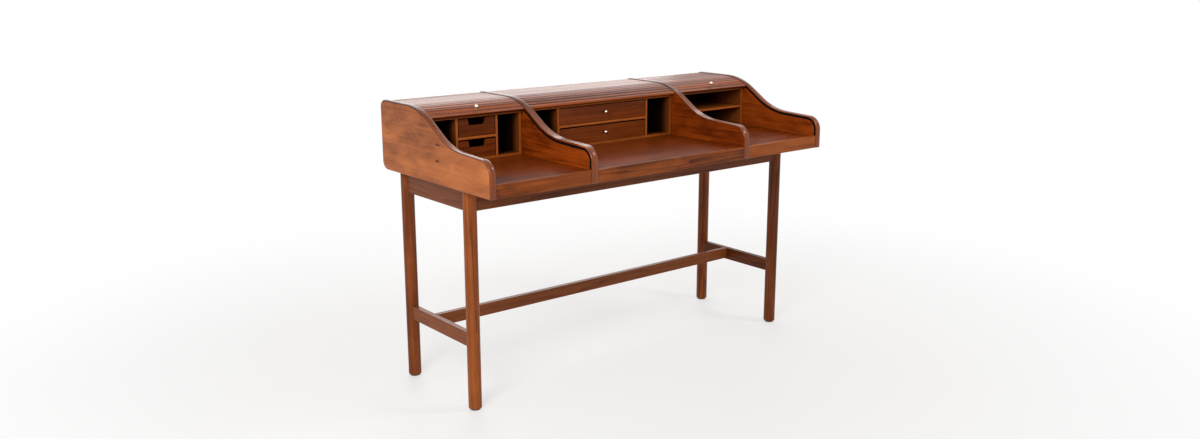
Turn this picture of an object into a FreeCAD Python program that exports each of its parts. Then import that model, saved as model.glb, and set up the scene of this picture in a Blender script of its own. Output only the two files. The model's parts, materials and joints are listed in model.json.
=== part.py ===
import FreeCAD, Part
import math
import os
import re
from FreeCAD import Placement, Rotation, Vector

# A tambour desk: a low case with S-shaped gables and dividers on a frame of four round legs.
# Millimetres. X runs along the desk, -Y is the user's side, +Z is up, and the origin lies on the
# floor under the centre of the desk.

# ---------------------------------------------------------------- driving dimensions

DRIVING = [
    # the case
    ("desk_length", 1422, "over the outer faces of the gables"),
    ("desk_depth", 632, "front to back over the gables"),
    ("worktop_height", 740, "floor to the writing surface"),
    ("case_rise", 184, "writing surface to the top of the gables"),
    ("gable_thick", 22, "each gable"),
    ("divider_thick", 25, "each divider"),
    ("centre_bay", 637, "clear width between the dividers"),
    ("edge_round", 3, "rounding of the edges of gables and dividers"),
    ("worktop_thick", 18, "board of the writing surface"),
    ("lip_height", 42, "front lip of the worktop"),
    ("lip_thick", 20, "front to back of the lip"),
    ("lip_inset", 4, "lip behind the front edges of the gables"),
    ("worktop_back_gap", 24, "worktop to the back edge of the gables"),
    ("bottom_board", 12, "board under the case"),
    ("ledger_depth", 37, "strip on the bottom board that the back stands against"),
    ("ledger_rise", 8, "top of the ledger over the bottom board"),
    ("back_thick", 6, "back panel"),
    ("panel_foot", 18, "bottom of the back panel above the bottom of the gables"),
    # the S-shaped edge of gables and dividers
    ("nose_rise", 68, "writing surface to where the low run meets the front edge"),
    ("nose_slope", 2.3, "rise of the low run, in degrees"),
    ("nose_radius", 48, "front corner"),
    ("foot_inset", 409, "back edge to the foot of the slope"),
    ("crest_inset", 237.7, "back edge to the head of the slope"),
    ("sweep_radius", 255, "hollow at the foot of the slope"),
    ("crest_radius", 250, "round at the head of the slope"),
    ("back_top_radius", 25, "upper back corner"),
    ("back_foot_radius", 27, "lower back corner of a gable"),
    # the fixed roof
    ("roof_depth", 3, "roof below the edge of the gables"),
    ("side_roof_thick", 3, "roof over a side bay"),
    ("centre_roof_thick", 8, "roof over the centre bay"),
    ("reed_width", 0.9, "half of the valley between two slats"),
    ("reed_depth", 1.5, "depth of that valley"),
    # the tambour doors
    ("slat_depth", 6.6, "slats below the edge of the gables"),
    ("slat_thick", 4.5, "a slat with its canvas"),
    ("slat_pitch", 17, "one slat to the next"),
    ("strip_gap", 0.5, "between two strips of the curtain"),
    ("groove_play", 1, "groove past each face of a slat"),
    ("groove_cut", 6, "depth of the groove in a gable or divider"),
    ("groove_end_play", 1, "end of a slat to the bottom of its groove"),
    ("groove_room", 6, "extra width of the hidden groove, on the canvas side"),
    ("rear_slat_gap", 1.5, "slats to the back panel"),
    ("rear_turn_radius", 43, "canvas where the groove turns down behind the units"),
    ("rear_groove_rise", 3, "lower end of the groove over the ledger"),
    ("rear_spare", 1.3, "end of an open curtain to the end of its groove"),
    ("lead_width", 31, "lead rail along the groove"),
    ("lead_side_gap", 1, "lead rail to the gable or divider"),
    ("lead_stop", 2, "closed lead rail over the worktop"),
    ("lead_bead", 15.5, "valley in the lead rail, from its lower edge"),
    ("lead_round", 2, "rounding of the lead rail"),
    ("roof_gap", 1.5, "open lead rail to the roof"),
    # the knobs
    ("knob_ball", 12, "diameter of the ball"),
    ("knob_height", 16, "foot to the top of the ball"),
    ("knob_stem", 5, "diameter of the stem"),
    ("knob_collar", 8, "diameter of the collar at its foot"),
    ("knob_collar_height", 1.5, "collar"),
    ("door_knob_reach", 24, "knob from the lower edge of the lead rail"),
    ("drawer_knob_rise", 4, "knob over the middle of its drawer front"),
    # the pigeonhole units
    ("unit_depth", 236, "front to back"),
    ("unit_back_gap", 30, "unit to the back edge of the gables"),
    ("unit_headroom", 38, "top of a unit to the top of the gables"),
    ("unit_board", 8, "top, bottom and shelves"),
    ("unit_side", 9, "outer sides"),
    ("unit_post", 8, "uprights beside the drawers"),
    ("unit_back_board", 4, "back of a unit"),
    ("small_opening", 140, "opening for the small drawers"),
    ("wide_opening", 382, "opening for the wide drawers"),
    # the drawers
    ("drawer_side_gap", 2.5, "drawer to each side of its opening"),
    ("drawer_foot_gap", 1, "drawer over its shelf"),
    ("upper_head_gap", 3, "upper drawer to the top of the unit"),
    ("lower_head_gap", 5, "lower drawer to the shelf over it"),
    ("drawer_depth", 216, "front to back"),
    ("drawer_front", 10, "front"),
    ("drawer_wall", 7, "sides and back"),
    ("drawer_bottom", 4, "bottom"),
    ("notch_top", 66, "finger notch at the top edge"),
    ("notch_foot", 58, "finger notch at its bottom"),
    ("notch_depth", 22, "finger notch"),
    ("notch_radius", 7, "lower corners of the notch"),
    # the stand
    ("leg_diameter", 42, "round leg"),
    ("leg_inset", 41, "end of the desk to the axis of a leg"),
    ("front_leg_inset", 177, "front edge to the axis of a front leg"),
    ("back_leg_inset", 83, "back edge to the axis of a back leg"),
    ("leg_round", 4, "rounding at the foot of a leg"),
    ("glide_diameter", 32, "glide under a leg"),
    ("glide_thick", 4, "glide"),
    ("rail_height", 68, "rails under the case"),
    ("rail_thick", 20, "rails under the case"),
    ("stretcher_height", 45, "side stretchers"),
    ("stretcher_thick", 20, "side stretchers"),
    ("stretcher_base", 201, "floor to the side stretchers"),
    ("long_stretcher_height", 40, "long stretcher"),
    ("long_stretcher_thick", 20, "long stretcher"),
    ("long_stretcher_base", 207, "floor to the long stretcher"),
    ("long_stretcher_inset", 222, "back edge to the middle of the long stretcher"),
    ("tenon_root", 6, "axis of a leg to the end of a tenon"),
    ("tenon_thick", 8, "all tenons"),
    ("tenon_shoulder", 8, "tenon lower than its rail, above and below"),
    ("stretcher_tenon", 10, "tenon of the long stretcher"),
    # the screws of the back panel
    ("screw_shank", 3.5, "diameter"),
    ("screw_length", 20, "under the head"),
    ("screw_head", 7, "diameter of the head"),
    ("screw_head_rise", 2.2, "height of the head"),
    ("screw_margin", 16, "first and last screw from the ends of the panel"),
]
SCREWS_PER_DIVIDER = 4
TINY = 1e-6  # two lengths closer than this are the same

# worked out from the driving dimensions, each from the lines above it
DERIVED = [
    ("top_height", "worktop_height + case_rise"),
    ("nose_height", "worktop_height + nose_rise"),
    ("case_base", "worktop_height - lip_height"),
    ("gable_inner", "desk_length / 2 - gable_thick"),
    ("bay_edge", "centre_bay / 2 + divider_thick"),
    ("side_bay", "gable_inner - bay_edge"),
    ("side_centre", "(gable_inner + bay_edge) / 2"),
    ("front_edge", "-desk_depth / 2"),
    ("back_edge", "desk_depth / 2"),
    ("lip_front", "front_edge + lip_inset"),
    ("lip_back", "lip_front + lip_thick"),
    ("board_top", "case_base + bottom_board"),
    ("ledger_top", "board_top + ledger_rise"),
    ("panel_outer", "back_edge - roof_depth"),
    ("panel_inner", "panel_outer - back_thick"),
    ("panel_base", "case_base + panel_foot"),
    ("panel_top", "top_height - back_top_radius"),
    ("ledger_front", "panel_inner - ledger_depth"),
    ("canvas_depth", "slat_depth + slat_thick"),
    ("rear_canvas", "panel_inner - rear_slat_gap - slat_thick"),
    ("lead_thick", "canvas_depth - roof_depth"),
    ("lead_length", "side_bay - 2 * lead_side_gap"),
    ("slat_length", "side_bay + 2 * (groove_cut - groove_end_play)"),
    ("unit_back", "back_edge - unit_back_gap"),
    ("unit_front", "unit_back - unit_depth"),
    ("unit_inside", "unit_depth - unit_back_board"),
    ("unit_top", "top_height - unit_headroom"),
    ("floor_level", "worktop_height + unit_board"),
    ("upper_ceiling", "unit_top - unit_board"),
    ("drawer_gaps", "2 * drawer_foot_gap + upper_head_gap + lower_head_gap"),
    ("drawer_height", "(upper_ceiling - floor_level - unit_board - drawer_gaps) / 2"),
    ("lower_ceiling", "floor_level + drawer_foot_gap + drawer_height + lower_head_gap"),
    ("shelf_level", "lower_ceiling + unit_board"),
    ("leg_x", "desk_length / 2 - leg_inset"),
    ("front_leg_y", "front_edge + front_leg_inset"),
    ("back_leg_y", "back_edge - back_leg_inset"),
    ("rail_base", "case_base - rail_height"),
    ("long_stretcher_y", "back_edge - long_stretcher_inset"),
    (
        "head_radius",
        "(screw_head * screw_head / 4 + screw_head_rise * screw_head_rise) / (2 * screw_head_rise)",
    ),
    ("lowest_screw", "panel_base + ledger_rise + screw_margin"),
    ("screw_rise", "panel_top - screw_margin - lowest_screw"),
]

doc = FreeCAD.newDocument("TambourDesk")
sheet = doc.addObject("Spreadsheet::Sheet", "Sheet")
for row, (alias, value, note) in enumerate(DRIVING, 1):
    sheet.set(f"A{row}", alias)
    sheet.set(f"B{row}", str(value))
    sheet.set(f"C{row}", note)
    sheet.setAlias(f"B{row}", alias)
doc.recompute()

derived = doc.addObject("App::VarSet", "Derived")
HOME = {alias: "Sheet" for alias, _, _ in DRIVING}


def linked(text):
    """The expression with each named size given its place in the document."""
    return re.sub(r"[a-z_]+", lambda word: f"{HOME[word[0]]}.{word[0]}", text)


for alias, text in DERIVED:
    derived.addProperty("App::PropertyFloat", alias, "Sizes")
    derived.setExpression(alias, linked(text))
    HOME[alias] = "Derived"
doc.recompute()


def size(alias):
    """A named size as a number."""
    return float(getattr(doc.getObject(HOME[alias]), alias))


# ---------------------------------------------------------------- makers

NODES = []


def node(thing, label):
    """Give a finished sub-part its label and list it for export."""
    thing.Label = label
    NODES.append(thing)
    return thing


def bind(thing, **sizes):
    """Tie properties of an object to expressions of named sizes."""
    for name, text in sizes.items():
        thing.setExpression(name, linked(text))


def place(thing, x="0", y="0", z="0"):
    """Tie the place of an object to expressions."""
    for axis, text in zip("xyz", (x, y, z)):
        thing.setExpression(f"Placement.Base.{axis}", linked(text) if text != "0" else "0")


def box(name, x, y, z):
    """A block between two expressions along each axis."""
    block = doc.addObject("Part::Box", name)
    bind(
        block,
        Length=f"({x[1]}) - ({x[0]})",
        Width=f"({y[1]}) - ({y[0]})",
        Height=f"({z[1]}) - ({z[0]})",
    )
    place(block, x[0], y[0], z[0])
    return block


def cylinder(name, radius, height, x="0", y="0", z="0", turn=None):
    """A round bar, upright unless it is turned."""
    bar = doc.addObject("Part::Cylinder", name)
    bind(bar, Radius=radius, Height=height)
    if turn:
        bar.Placement.Rotation = turn
    place(bar, x, y, z)
    return bar


def join(name, *parts):
    """One solid out of several."""
    whole = doc.addObject("Part::MultiFuse", name)
    whole.Shapes = list(parts)
    whole.Refine = True
    return whole


def cut(name, base, *tools):
    """A solid less one or more others."""
    rest = doc.addObject("Part::Cut", name)
    rest.Base = base
    rest.Tool = tools[0] if len(tools) == 1 else join(f"{name}_tools", *tools)
    rest.Refine = True
    return rest


def sketch(body, name, role, curves, rise=0.0):
    """A sketch of the given curves on an origin plane of its body, lifted by rise."""
    page = body.newObject("Sketcher::SketchObject", name)
    plane = [item for item in body.Origin.OriginFeatures if item.Role == role][0]
    page.AttachmentSupport = [(plane, "")]
    page.MapMode = "FlatFace"
    page.AttachmentOffset = Placement(Vector(0, 0, rise), Rotation())
    page.addGeometry(curves, False)
    return page


def pad(body, page, length):
    """Raise a sketch to a length."""
    feature = body.newObject("PartDesign::Pad", f"{body.Name}_pad")
    feature.Profile = page
    bind(feature, Length=length)
    return feature


def pocket(body, page, depth, reverse=False):
    """Sink a sketch by a depth, against its normal or, reversed, along it."""
    feature = body.newObject("PartDesign::Pocket", f"{page.Name}_pocket")
    feature.Profile = page
    feature.Reversed = reverse
    bind(feature, Length=depth)
    return feature


def polygon(points):
    """Closed straight edges through points in a plane."""
    corners = [Vector(x, y, 0) for x, y in points]
    return [Part.LineSegment(a, b) for a, b in zip(corners, corners[1:] + corners[:1])]


# the side view as a plane: its x runs to the back (Y), its y up (Z) and its normal along the desk (X)
SIDE_VIEW = Rotation(Vector(1, 1, 1), 120)


# ---------------------------------------------------------------- the S-shaped edge

class Route:
    """Straight runs joined by tangent arcs, in the side view, measured along its length.

    points are (y, z) corners and radii round the corners between the first and the last.
    """

    def __init__(self, points, radii):
        self.runs = []
        here = Vector(*points[0], 0)
        corners = [Vector(*point, 0) for point in points]
        for before, corner, after, radius in zip(corners, corners[1:], corners[2:], radii):
            way_in = (corner - before).normalize()
            way_out = (after - corner).normalize()
            turn = math.atan2(way_in.cross(way_out).z, way_in.dot(way_out))
            tangent = radius * math.tan(abs(turn) / 2)
            start = corner - way_in * tangent
            left = Vector(-way_in.y, way_in.x, 0)
            centre = start + left * math.copysign(radius, turn)
            self.runs.append(("line", here, way_in, 0.0, (start - here).Length))
            self.runs.append(("arc", centre, start - centre, turn, radius * abs(turn)))
            here = corner + way_out * tangent
        last = corners[-1] - here
        self.runs.append(("line", here, last.normalize(), 0.0, (corners[-1] - here).Length))
        self.length = sum(run[-1] for run in self.runs)

    def at(self, way):
        """The point at a way along the route, and the direction there."""
        for kind, base, spoke, turn, length in self.runs:
            if way <= length or (kind, base) == (self.runs[-1][0], self.runs[-1][1]):
                if kind == "line":
                    return base + spoke * way, spoke
                arm = Rotation(Vector(0, 0, 1), math.degrees(turn * way / length)).multVec(spoke)
                ahead = Vector(-arm.y, arm.x, 0) * math.copysign(1, turn)
                return base + arm, ahead.normalize()
            way -= length

    def beside(self, way, depth):
        """The point at a depth to the right of the route, which is the inside of the case."""
        point, ahead = self.at(way)
        return point + Vector(ahead.y, -ahead.x, 0) * depth

    def curves(self, start=0.0, end=None):
        """Lines and arcs from one way along the route to another."""
        end = self.length if end is None else end
        out = []
        way = 0.0
        for kind, base, spoke, turn, length in self.runs:
            low, high = max(start, way), min(end, way + length)
            if high - low > TINY:
                first, last = self.at(low)[0], self.at(high)[0]
                if kind == "line":
                    out.append(Part.LineSegment(first, last))
                else:
                    out.append(Part.Arc(first, self.at((low + high) / 2)[0], last))
            way += length
        return out

    def way_to(self, reach):
        """The way along the route at which its y first passes reach."""
        low, high = 0.0, self.length
        while high - low > TINY:
            middle = (low + high) / 2
            if self.at(middle)[0].x < reach:
                low = middle
            else:
                high = middle
        return low


def corner_points(depth):
    """Corners of the S-shaped edge moved inwards by a depth: front, nose, foot, crest, back."""
    slope = math.radians(size("nose_slope"))
    foot_y = size("back_edge") - size("foot_inset")
    foot_z = size("nose_height") + math.tan(slope) * (foot_y - size("front_edge"))
    crest_y = size("back_edge") - size("crest_inset")
    rise = math.atan2(size("top_height") - foot_z, crest_y - foot_y)
    # each corner moves along the bisector of its two edges
    front = size("front_edge") + depth
    low_drop = depth / math.cos(slope)
    nose = (front, size("nose_height") + math.tan(slope) * depth - low_drop)
    foot_shift = depth * math.tan((rise - slope) / 2)
    foot = (
        foot_y + depth * math.sin(slope) + foot_shift * math.cos(slope),
        foot_z - depth * math.cos(slope) + foot_shift * math.sin(slope),
    )
    crest = (crest_y + depth * math.tan(rise / 2), size("top_height") - depth)
    return [nose, foot, crest]


def edge_radii(depth):
    """Radii of nose, foot and crest at a depth inside the edge."""
    return [size("nose_radius") - depth, size("sweep_radius") + depth, size("crest_radius") - depth]


FRONT, BACK = size("front_edge"), size("back_edge")
BASE, TOP = size("case_base"), size("top_height")
edge = Route(
    [(FRONT, BASE)] + corner_points(0) + [(BACK, TOP), (BACK, BASE)],
    edge_radii(0) + [size("back_top_radius")],
)
edge_way_round = edge.length - (size("panel_top") - BASE)  # to the end of the upper back corner


def tambour_route(aside):
    """The way of the canvas in the groove, moved aside towards the case by a distance."""
    depth = size("canvas_depth") + aside
    rear = size("rear_canvas") - aside
    return Route(
        [(FRONT + depth, size("worktop_height") + size("lead_stop"))]
        + corner_points(depth)
        + [(rear, TOP - depth), (rear, size("ledger_top") + size("rear_groove_rise"))],
        edge_radii(depth) + [size("rear_turn_radius") - aside],
    )


canvas = tambour_route(0)


# slats in each strip of the curtain, from the lead rail to the far end: single slats go round
# the front corner, and longer strips lie where the groove is straight or gently curved
SLATS_PER_STRIP = (1, 1, 1, 6, 2, 2, 2, 2, 3, 2, 2)
strip_lengths = [size("lead_width")] + [
    count * size("slat_pitch") - size("strip_gap") for count in SLATS_PER_STRIP
]


def strip_starts(route, way, lengths):
    """Lay rigid strips end to end, each with both ends of its canvas on the route.

    Gives each strip's start and its angle in the side view, from way onwards, and the way at the
    end of the last.
    """
    laid = []
    for length in lengths:
        start = route.at(way)[0]
        low, high = way, way + length * 2
        while high - low > TINY:
            middle = (low + high) / 2
            if (route.at(middle)[0] - start).Length < length:
                low = middle
            else:
                high = middle
        chord = route.at(low)[0] - start
        laid.append((start, math.atan2(chord.y, chord.x)))
        way = low + size("strip_gap")
    return laid, low


def opened():
    """The way to the lower edge of an open lead rail: the curtain then ends near its groove's end."""
    low, high = 0.0, canvas.length
    while high - low > TINY:
        middle = (low + high) / 2
        if strip_starts(canvas, middle, strip_lengths)[1] < canvas.length - size("rear_spare"):
            low = middle
        else:
            high = middle
    return low


door_travel = opened()


# ---------------------------------------------------------------- gables and dividers

def rounded(body, feature, keep):
    """Round the edges of the two faces of an upright, where keep says so of an edge's middle."""
    faces = (feature.Shape.BoundBox.XMin, feature.Shape.BoundBox.XMax)
    names = []
    for number, line in enumerate(feature.Shape.Edges, 1):
        middle = line.valueAt((line.FirstParameter + line.LastParameter) / 2)
        if min(abs(middle.x - face) for face in faces) < TINY and keep(middle):
            names.append(f"Edge{number}")
    fillet = body.newObject("PartDesign::Fillet", f"{body.Name}_round")
    fillet.Base = (feature, names)
    bind(fillet, Radius="edge_round")
    return fillet


def groove(body, face, reverse):
    """The groove for the slats, with more room where it is hidden under the roof."""
    play, thick = size("groove_play"), size("slat_thick")
    hidden = door_travel + size("lead_width")
    for name, inner, start in (("groove", play, 0.0), ("room", play + size("groove_room"), hidden)):
        near, far = tambour_route(-thick - play), tambour_route(inner)
        near_start = near.way_to(near.at(start)[0].x) if start else 0.0
        far_start = far.way_to(canvas.beside(start, inner).x) if start else 0.0
        there = near.curves(near_start)
        back = far.curves(far_start)
        ends = [
            Part.LineSegment(near.at(near_start)[0], far.at(far_start)[0]),
            Part.LineSegment(near.at(near.length)[0], far.at(far.length)[0]),
        ]
        page = sketch(body, f"{body.Name}_{name}", "YZ_Plane", there + back + ends, face)
        pocket(body, page, "groove_cut", reverse)


def upright(name, curves, thick, x, keep, groove_on):
    """A gable or divider: its outline raised to its thickness, rounded, with a groove in a face."""
    body = doc.addObject("PartDesign::Body", name)
    feature = pad(body, sketch(body, f"{name}_outline", "YZ_Plane", curves), thick)
    doc.recompute()
    rounded(body, feature, keep)
    groove(body, size(thick) if groove_on == "right" else 0.0, groove_on == "left")
    place(body, x)
    return body


gable_outline = Route(
    [(FRONT, BASE)] + corner_points(0) + [(BACK, TOP), (BACK, BASE), (FRONT, BASE)],
    edge_radii(0) + [size("back_top_radius"), size("back_foot_radius")],
).curves()


def on_gable_edge(at):
    """Whether an edge's middle lies on the rounded part of a gable's outline, over its flat foot."""
    return at.z > BASE + size("edge_round")


def on_divider_edge(at):
    """Whether an edge's middle lies on the part of a divider's outline that is seen."""
    behind_lip = at.y > size("lip_back") - size("edge_round")
    under_corner = at.z < size("panel_top") + size("edge_round")
    return on_gable_edge(at) and not (behind_lip and under_corner)


for name, x, groove_on in (
    ("left_gable", "-desk_length / 2", "right"),
    ("right_gable", "gable_inner", "left"),
):
    body = upright(name, gable_outline, "gable_thick", x, on_gable_edge, groove_on)
    node(body, name)

# a divider stands on the bottom board and its ledger, against the back panel, with its front
# end reaching down beside the lips
divider_foot = [
    (BACK, size("panel_top")),
    (size("panel_inner"), size("panel_top")),
    (size("panel_inner"), size("ledger_top")),
    (size("ledger_front"), size("ledger_top")),
    (size("ledger_front"), size("board_top")),
    (size("lip_back"), size("board_top")),
    (size("lip_back"), BASE),
    (FRONT, BASE),
]
divider_outline = edge.curves(0.0, edge_way_round) + polygon(divider_foot)[:-1]

# the screws that hold the back panel to the back edges of the dividers
BACKWARDS = Rotation(Vector(1, 0, 0), -90)
shanks = []
screws = []
for side, x in (
    ("left", "-(centre_bay + divider_thick) / 2"),
    ("right", "(centre_bay + divider_thick) / 2"),
):
    for number in range(SCREWS_PER_DIVIDER):
        share = number / (SCREWS_PER_DIVIDER - 1)
        z = f"lowest_screw + screw_rise * {share:.6f}"
        shank = cylinder(
            f"{side}_shank_{number}", "screw_shank / 2", "screw_length",
            x, "panel_outer - screw_length", z, BACKWARDS,
        )
        head = doc.addObject("Part::Sphere", f"{side}_head_{number}")
        bind(head, Radius="head_radius")
        place(head, x, "panel_outer + screw_head_rise - head_radius", z)
        dome = doc.addObject("Part::Common", f"{side}_dome_{number}")
        dome.Base = head
        dome.Tool = cylinder(
            f"{side}_rim_{number}", "screw_head / 2", "screw_head_rise",
            x, "panel_outer", z, BACKWARDS,
        )
        shanks.append(shank)
        screws.append(join(f"{side}_screw_{number}", shank, dome))
shank_room = join("shank_room", *shanks)

for name, x, groove_on in (
    ("left_divider", "-bay_edge", "left"),
    ("right_divider", "centre_bay / 2", "right"),
):
    body = upright(
        f"{name}_body", divider_outline, "divider_thick", x, on_divider_edge, groove_on
    )
    node(cut(f"{name}_bored", body, shank_room), name)

# ---------------------------------------------------------------- boards of the case

BAYS = (
    ("left", "-gable_inner", "-bay_edge"),
    ("centre", "-centre_bay / 2", "centre_bay / 2"),
    ("right", "bay_edge", "gable_inner"),
)
for bay, x_low, x_high in BAYS:
    board = box(
        f"{bay}_board", (x_low, x_high), ("lip_front", "back_edge - worktop_back_gap"),
        ("worktop_height - worktop_thick", "worktop_height"),
    )
    lip = box(
        f"{bay}_lip", (x_low, x_high), ("lip_front", "lip_back"), ("case_base", "worktop_height")
    )
    node(join(f"{bay}_top", board, lip), f"{bay}_worktop")

bottom = box(
    "bottom_sheet", ("-gable_inner", "gable_inner"), ("lip_back", "back_edge - back_foot_radius"),
    ("case_base", "board_top"),
)
ledger = box(
    "ledger", ("-gable_inner", "gable_inner"), ("ledger_front", "panel_inner"),
    ("board_top - ledger_rise / 2", "ledger_top"),
)
node(join("bottom_joined", bottom, ledger), "case_bottom")
panel = box(
    "back_sheet", ("-gable_inner", "gable_inner"), ("panel_inner", "panel_outer"),
    ("panel_base", "panel_top"),
)
node(cut("back_bored", panel, shank_room), "back_panel")

screw_group = doc.addObject("Part::Compound", "screw_group")
screw_group.Links = screws
node(screw_group, "back_screws")

# ---------------------------------------------------------------- tambour doors

def strip_outline(count):
    """Slats side by side on their canvas, with a valley between each two: x along the groove."""
    pitch, thick = size("slat_pitch"), size("slat_thick")
    wide, deep = size("reed_width"), size("reed_depth")
    end = count * pitch - size("strip_gap")
    points = [(0, 0), (end, 0)]
    for number in range(count, 0, -1):
        low = (number - 1) * pitch
        high = min(number * pitch, end)
        points += [(high, thick - deep), (high - wide, thick), (low + wide, thick)]
    return points + [(0, thick - deep)]


def lead_outline():
    """The lead rail: thicker than the slats, with soft edges and a valley that leaves a bead."""
    width, thick = size("lead_width"), size("lead_thick")
    soft, bead = size("lead_round"), size("lead_bead")
    wide, deep = size("reed_width"), size("reed_depth")
    return [
        (0, 0),
        (width, 0),
        (width, thick - soft),
        (width - soft, thick),
        (bead + wide, thick),
        (bead, thick - deep),
        (bead - wide, thick),
        (soft, thick),
        (0, thick - soft),
    ]


def laid_body(name, outline, length, start, angle, x):
    """A strip raised along the desk from its outline, and laid in the groove."""
    body = doc.addObject("PartDesign::Body", name)
    pad(body, sketch(body, f"{name}_outline", "XY_Plane", polygon(outline)), length)
    turn = Rotation(Vector(1, 0, 0), math.degrees(angle)) * SIDE_VIEW
    body.Placement = Placement(Vector(0, start.x, start.y), turn)
    body.setExpression("Placement.Base.x", linked(x))
    return body


def knob(name, label, turn, x, y, z):
    """A ball on a stem with a collar at its foot, standing along its own z before it is turned."""
    collar = cylinder(f"{name}_collar", "knob_collar / 2", "knob_collar_height")
    stem = cylinder(f"{name}_stem", "knob_stem / 2", "knob_height - knob_ball / 2")
    ball = doc.addObject("Part::Sphere", f"{name}_ball")
    bind(ball, Radius="knob_ball / 2")
    place(ball, z="knob_height - knob_ball / 2")
    whole = join(name, collar, stem, ball)
    whole.Placement = Placement(Vector(x, y, z), turn)
    return node(whole, label)


open_strips = strip_starts(canvas, door_travel, strip_lengths)[0]
lead_start, lead_angle = open_strips[0]
along = Vector(math.cos(lead_angle), math.sin(lead_angle), 0)
outwards = Vector(-along.y, along.x, 0)
lead_head = lead_start + along * size("lead_width") + outwards * size("lead_thick")
knob_foot = lead_start + along * size("door_knob_reach") + outwards * size("lead_thick")

for side, x_low, x_middle in (
    ("left", "-gable_inner", -size("side_centre")),
    ("right", "bay_edge", size("side_centre")),
):
    node(
        laid_body(
            f"{side}_lead", lead_outline(), "lead_length", lead_start, lead_angle,
            f"{x_low} + lead_side_gap",
        ),
        f"{side}_lead_rail",
    )
    curtain = zip(SLATS_PER_STRIP, open_strips[1:])
    for number, (count, (start, angle)) in enumerate(curtain, 1):
        node(
            laid_body(
                f"{side}_strip_{number}", strip_outline(count), "slat_length", start, angle,
                f"{x_low} - groove_cut + groove_end_play",
            ),
            f"{side}_slats_{number:02d}",
        )
    upwards = Rotation(Vector(1, 0, 0), math.degrees(lead_angle))
    knob(f"{side}_pull", f"{side}_door_knob", upwards, x_middle, knob_foot.x, knob_foot.y)

# ---------------------------------------------------------------- the fixed roof

BEND_STEPS = 8  # straight pieces of the roof's back corner
side_roof_start = edge.way_to(lead_head.x + size("roof_gap"))
lead_toe = lead_start + outwards * size("lead_thick")
centre_roof_start = edge.way_to(lead_toe.x)
round_start = edge_way_round - size("back_top_radius") * math.pi / 2
slats_in_roof = int((round_start - side_roof_start) / size("slat_pitch"))
roof_valleys = [
    side_roof_start + size("slat_pitch") * number for number in range(1, slats_in_roof + 1)
]


def roof_outline(start, valleys, thick):
    """A reeded sheet that follows the S-shaped edge from start to the end of the back corner."""
    depth, wide, deep = size("roof_depth"), size("reed_width"), size("reed_depth")
    bend = [
        round_start + (edge_way_round - round_start) * step / BEND_STEPS
        for step in range(BEND_STEPS + 1)
    ]
    outer = [edge.beside(start, depth)]
    for way in valleys:
        outer += [
            edge.beside(way - wide, depth),
            edge.beside(way, depth + deep),
            edge.beside(way + wide, depth),
        ]
    if bend[0] - valleys[-1] < 2 * wide:
        bend = bend[1:]
    outer += [edge.beside(way, depth) for way in bend]
    inner = [edge.beside(way, depth + thick) for way in [start] + valleys + bend]
    return [(point.x, point.y) for point in outer + inner[::-1]]


# the centre roof has no door: it goes on to the front with the same lines as an open lead rail
side_roof = roof_outline(side_roof_start, roof_valleys, size("side_roof_thick"))
centre_roof = roof_outline(
    centre_roof_start,
    [centre_roof_start + size("lead_bead"), side_roof_start] + roof_valleys,
    size("centre_roof_thick"),
)
for bay, x_low, x_high in BAYS:
    outline = centre_roof if bay == "centre" else side_roof
    body = doc.addObject("PartDesign::Body", f"{bay}_reeded_roof")
    page = sketch(body, f"{bay}_roof_outline", "YZ_Plane", polygon(outline))
    pad(body, page, f"({x_high}) - ({x_low})")
    place(body, x_low)
    node(body, f"{bay}_roof")

# ---------------------------------------------------------------- pigeonhole units

def unit(name, x_low, x_high, openings):
    """A glued-up carcass: a block less its openings, which run from the front to its back board."""
    block = box(
        f"{name}_block", (x_low, x_high), ("unit_front", "unit_back"), ("worktop_height", "unit_top")
    )
    rooms = [
        box(f"{name}_room_{number}", (low, high), ("unit_front", "unit_front + unit_inside"), (foot, head))
        for number, (low, high, foot, head) in enumerate(openings, 1)
    ]
    return node(cut(f"{name}_carcass", block, *rooms), name)


def drawer_openings(x_low, x_high, middle, opening):
    """A tall pigeonhole at each end and two drawer openings in the middle."""
    low, high = f"{middle} - {opening} / 2", f"{middle} + {opening} / 2"
    return [
        (f"{x_low} + unit_side", f"{low} - unit_post", "floor_level", "upper_ceiling"),
        (low, high, "floor_level", "lower_ceiling"),
        (low, high, "shelf_level", "upper_ceiling"),
        (f"{high} + unit_post", f"{x_high} - unit_side", "floor_level", "upper_ceiling"),
    ]


(_, left_low, left_high), (_, centre_low, centre_high), (_, right_low, right_high) = BAYS
unit(
    "left_unit", left_low, left_high,
    drawer_openings(left_low, left_high, "-side_centre", "small_opening"),
)
unit(
    "centre_unit", centre_low, centre_high,
    drawer_openings(centre_low, centre_high, "0", "wide_opening"),
)
unit(
    "right_unit", right_low, right_high,
    [
        (f"{right_low} + unit_side", f"{right_high} - unit_side", "floor_level", "lower_ceiling"),
        (f"{right_low} + unit_side", f"{right_high} - unit_side", "shelf_level", "upper_ceiling"),
    ],
)

# ---------------------------------------------------------------- drawers

NOTCH_OVERCUT = 1  # the notch is cut past the top edge and past both faces of the front


def notch_outline(middle, top):
    """A finger notch open at the top edge: sloping ends with round lower corners."""
    half_top, half_foot = size("notch_top") / 2, size("notch_foot") / 2
    deep = size("notch_depth")
    flare = (half_top - half_foot) / deep
    corners = [
        (middle - half_top - flare * NOTCH_OVERCUT, top + NOTCH_OVERCUT),
        (middle - half_foot, top - deep),
        (middle + half_foot, top - deep),
        (middle + half_top + flare * NOTCH_OVERCUT, top + NOTCH_OVERCUT),
    ]
    cup = Route(corners, [size("notch_radius")] * 2).curves()
    return cup + [Part.LineSegment(Vector(*corners[-1], 0), Vector(*corners[0], 0))]


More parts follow.
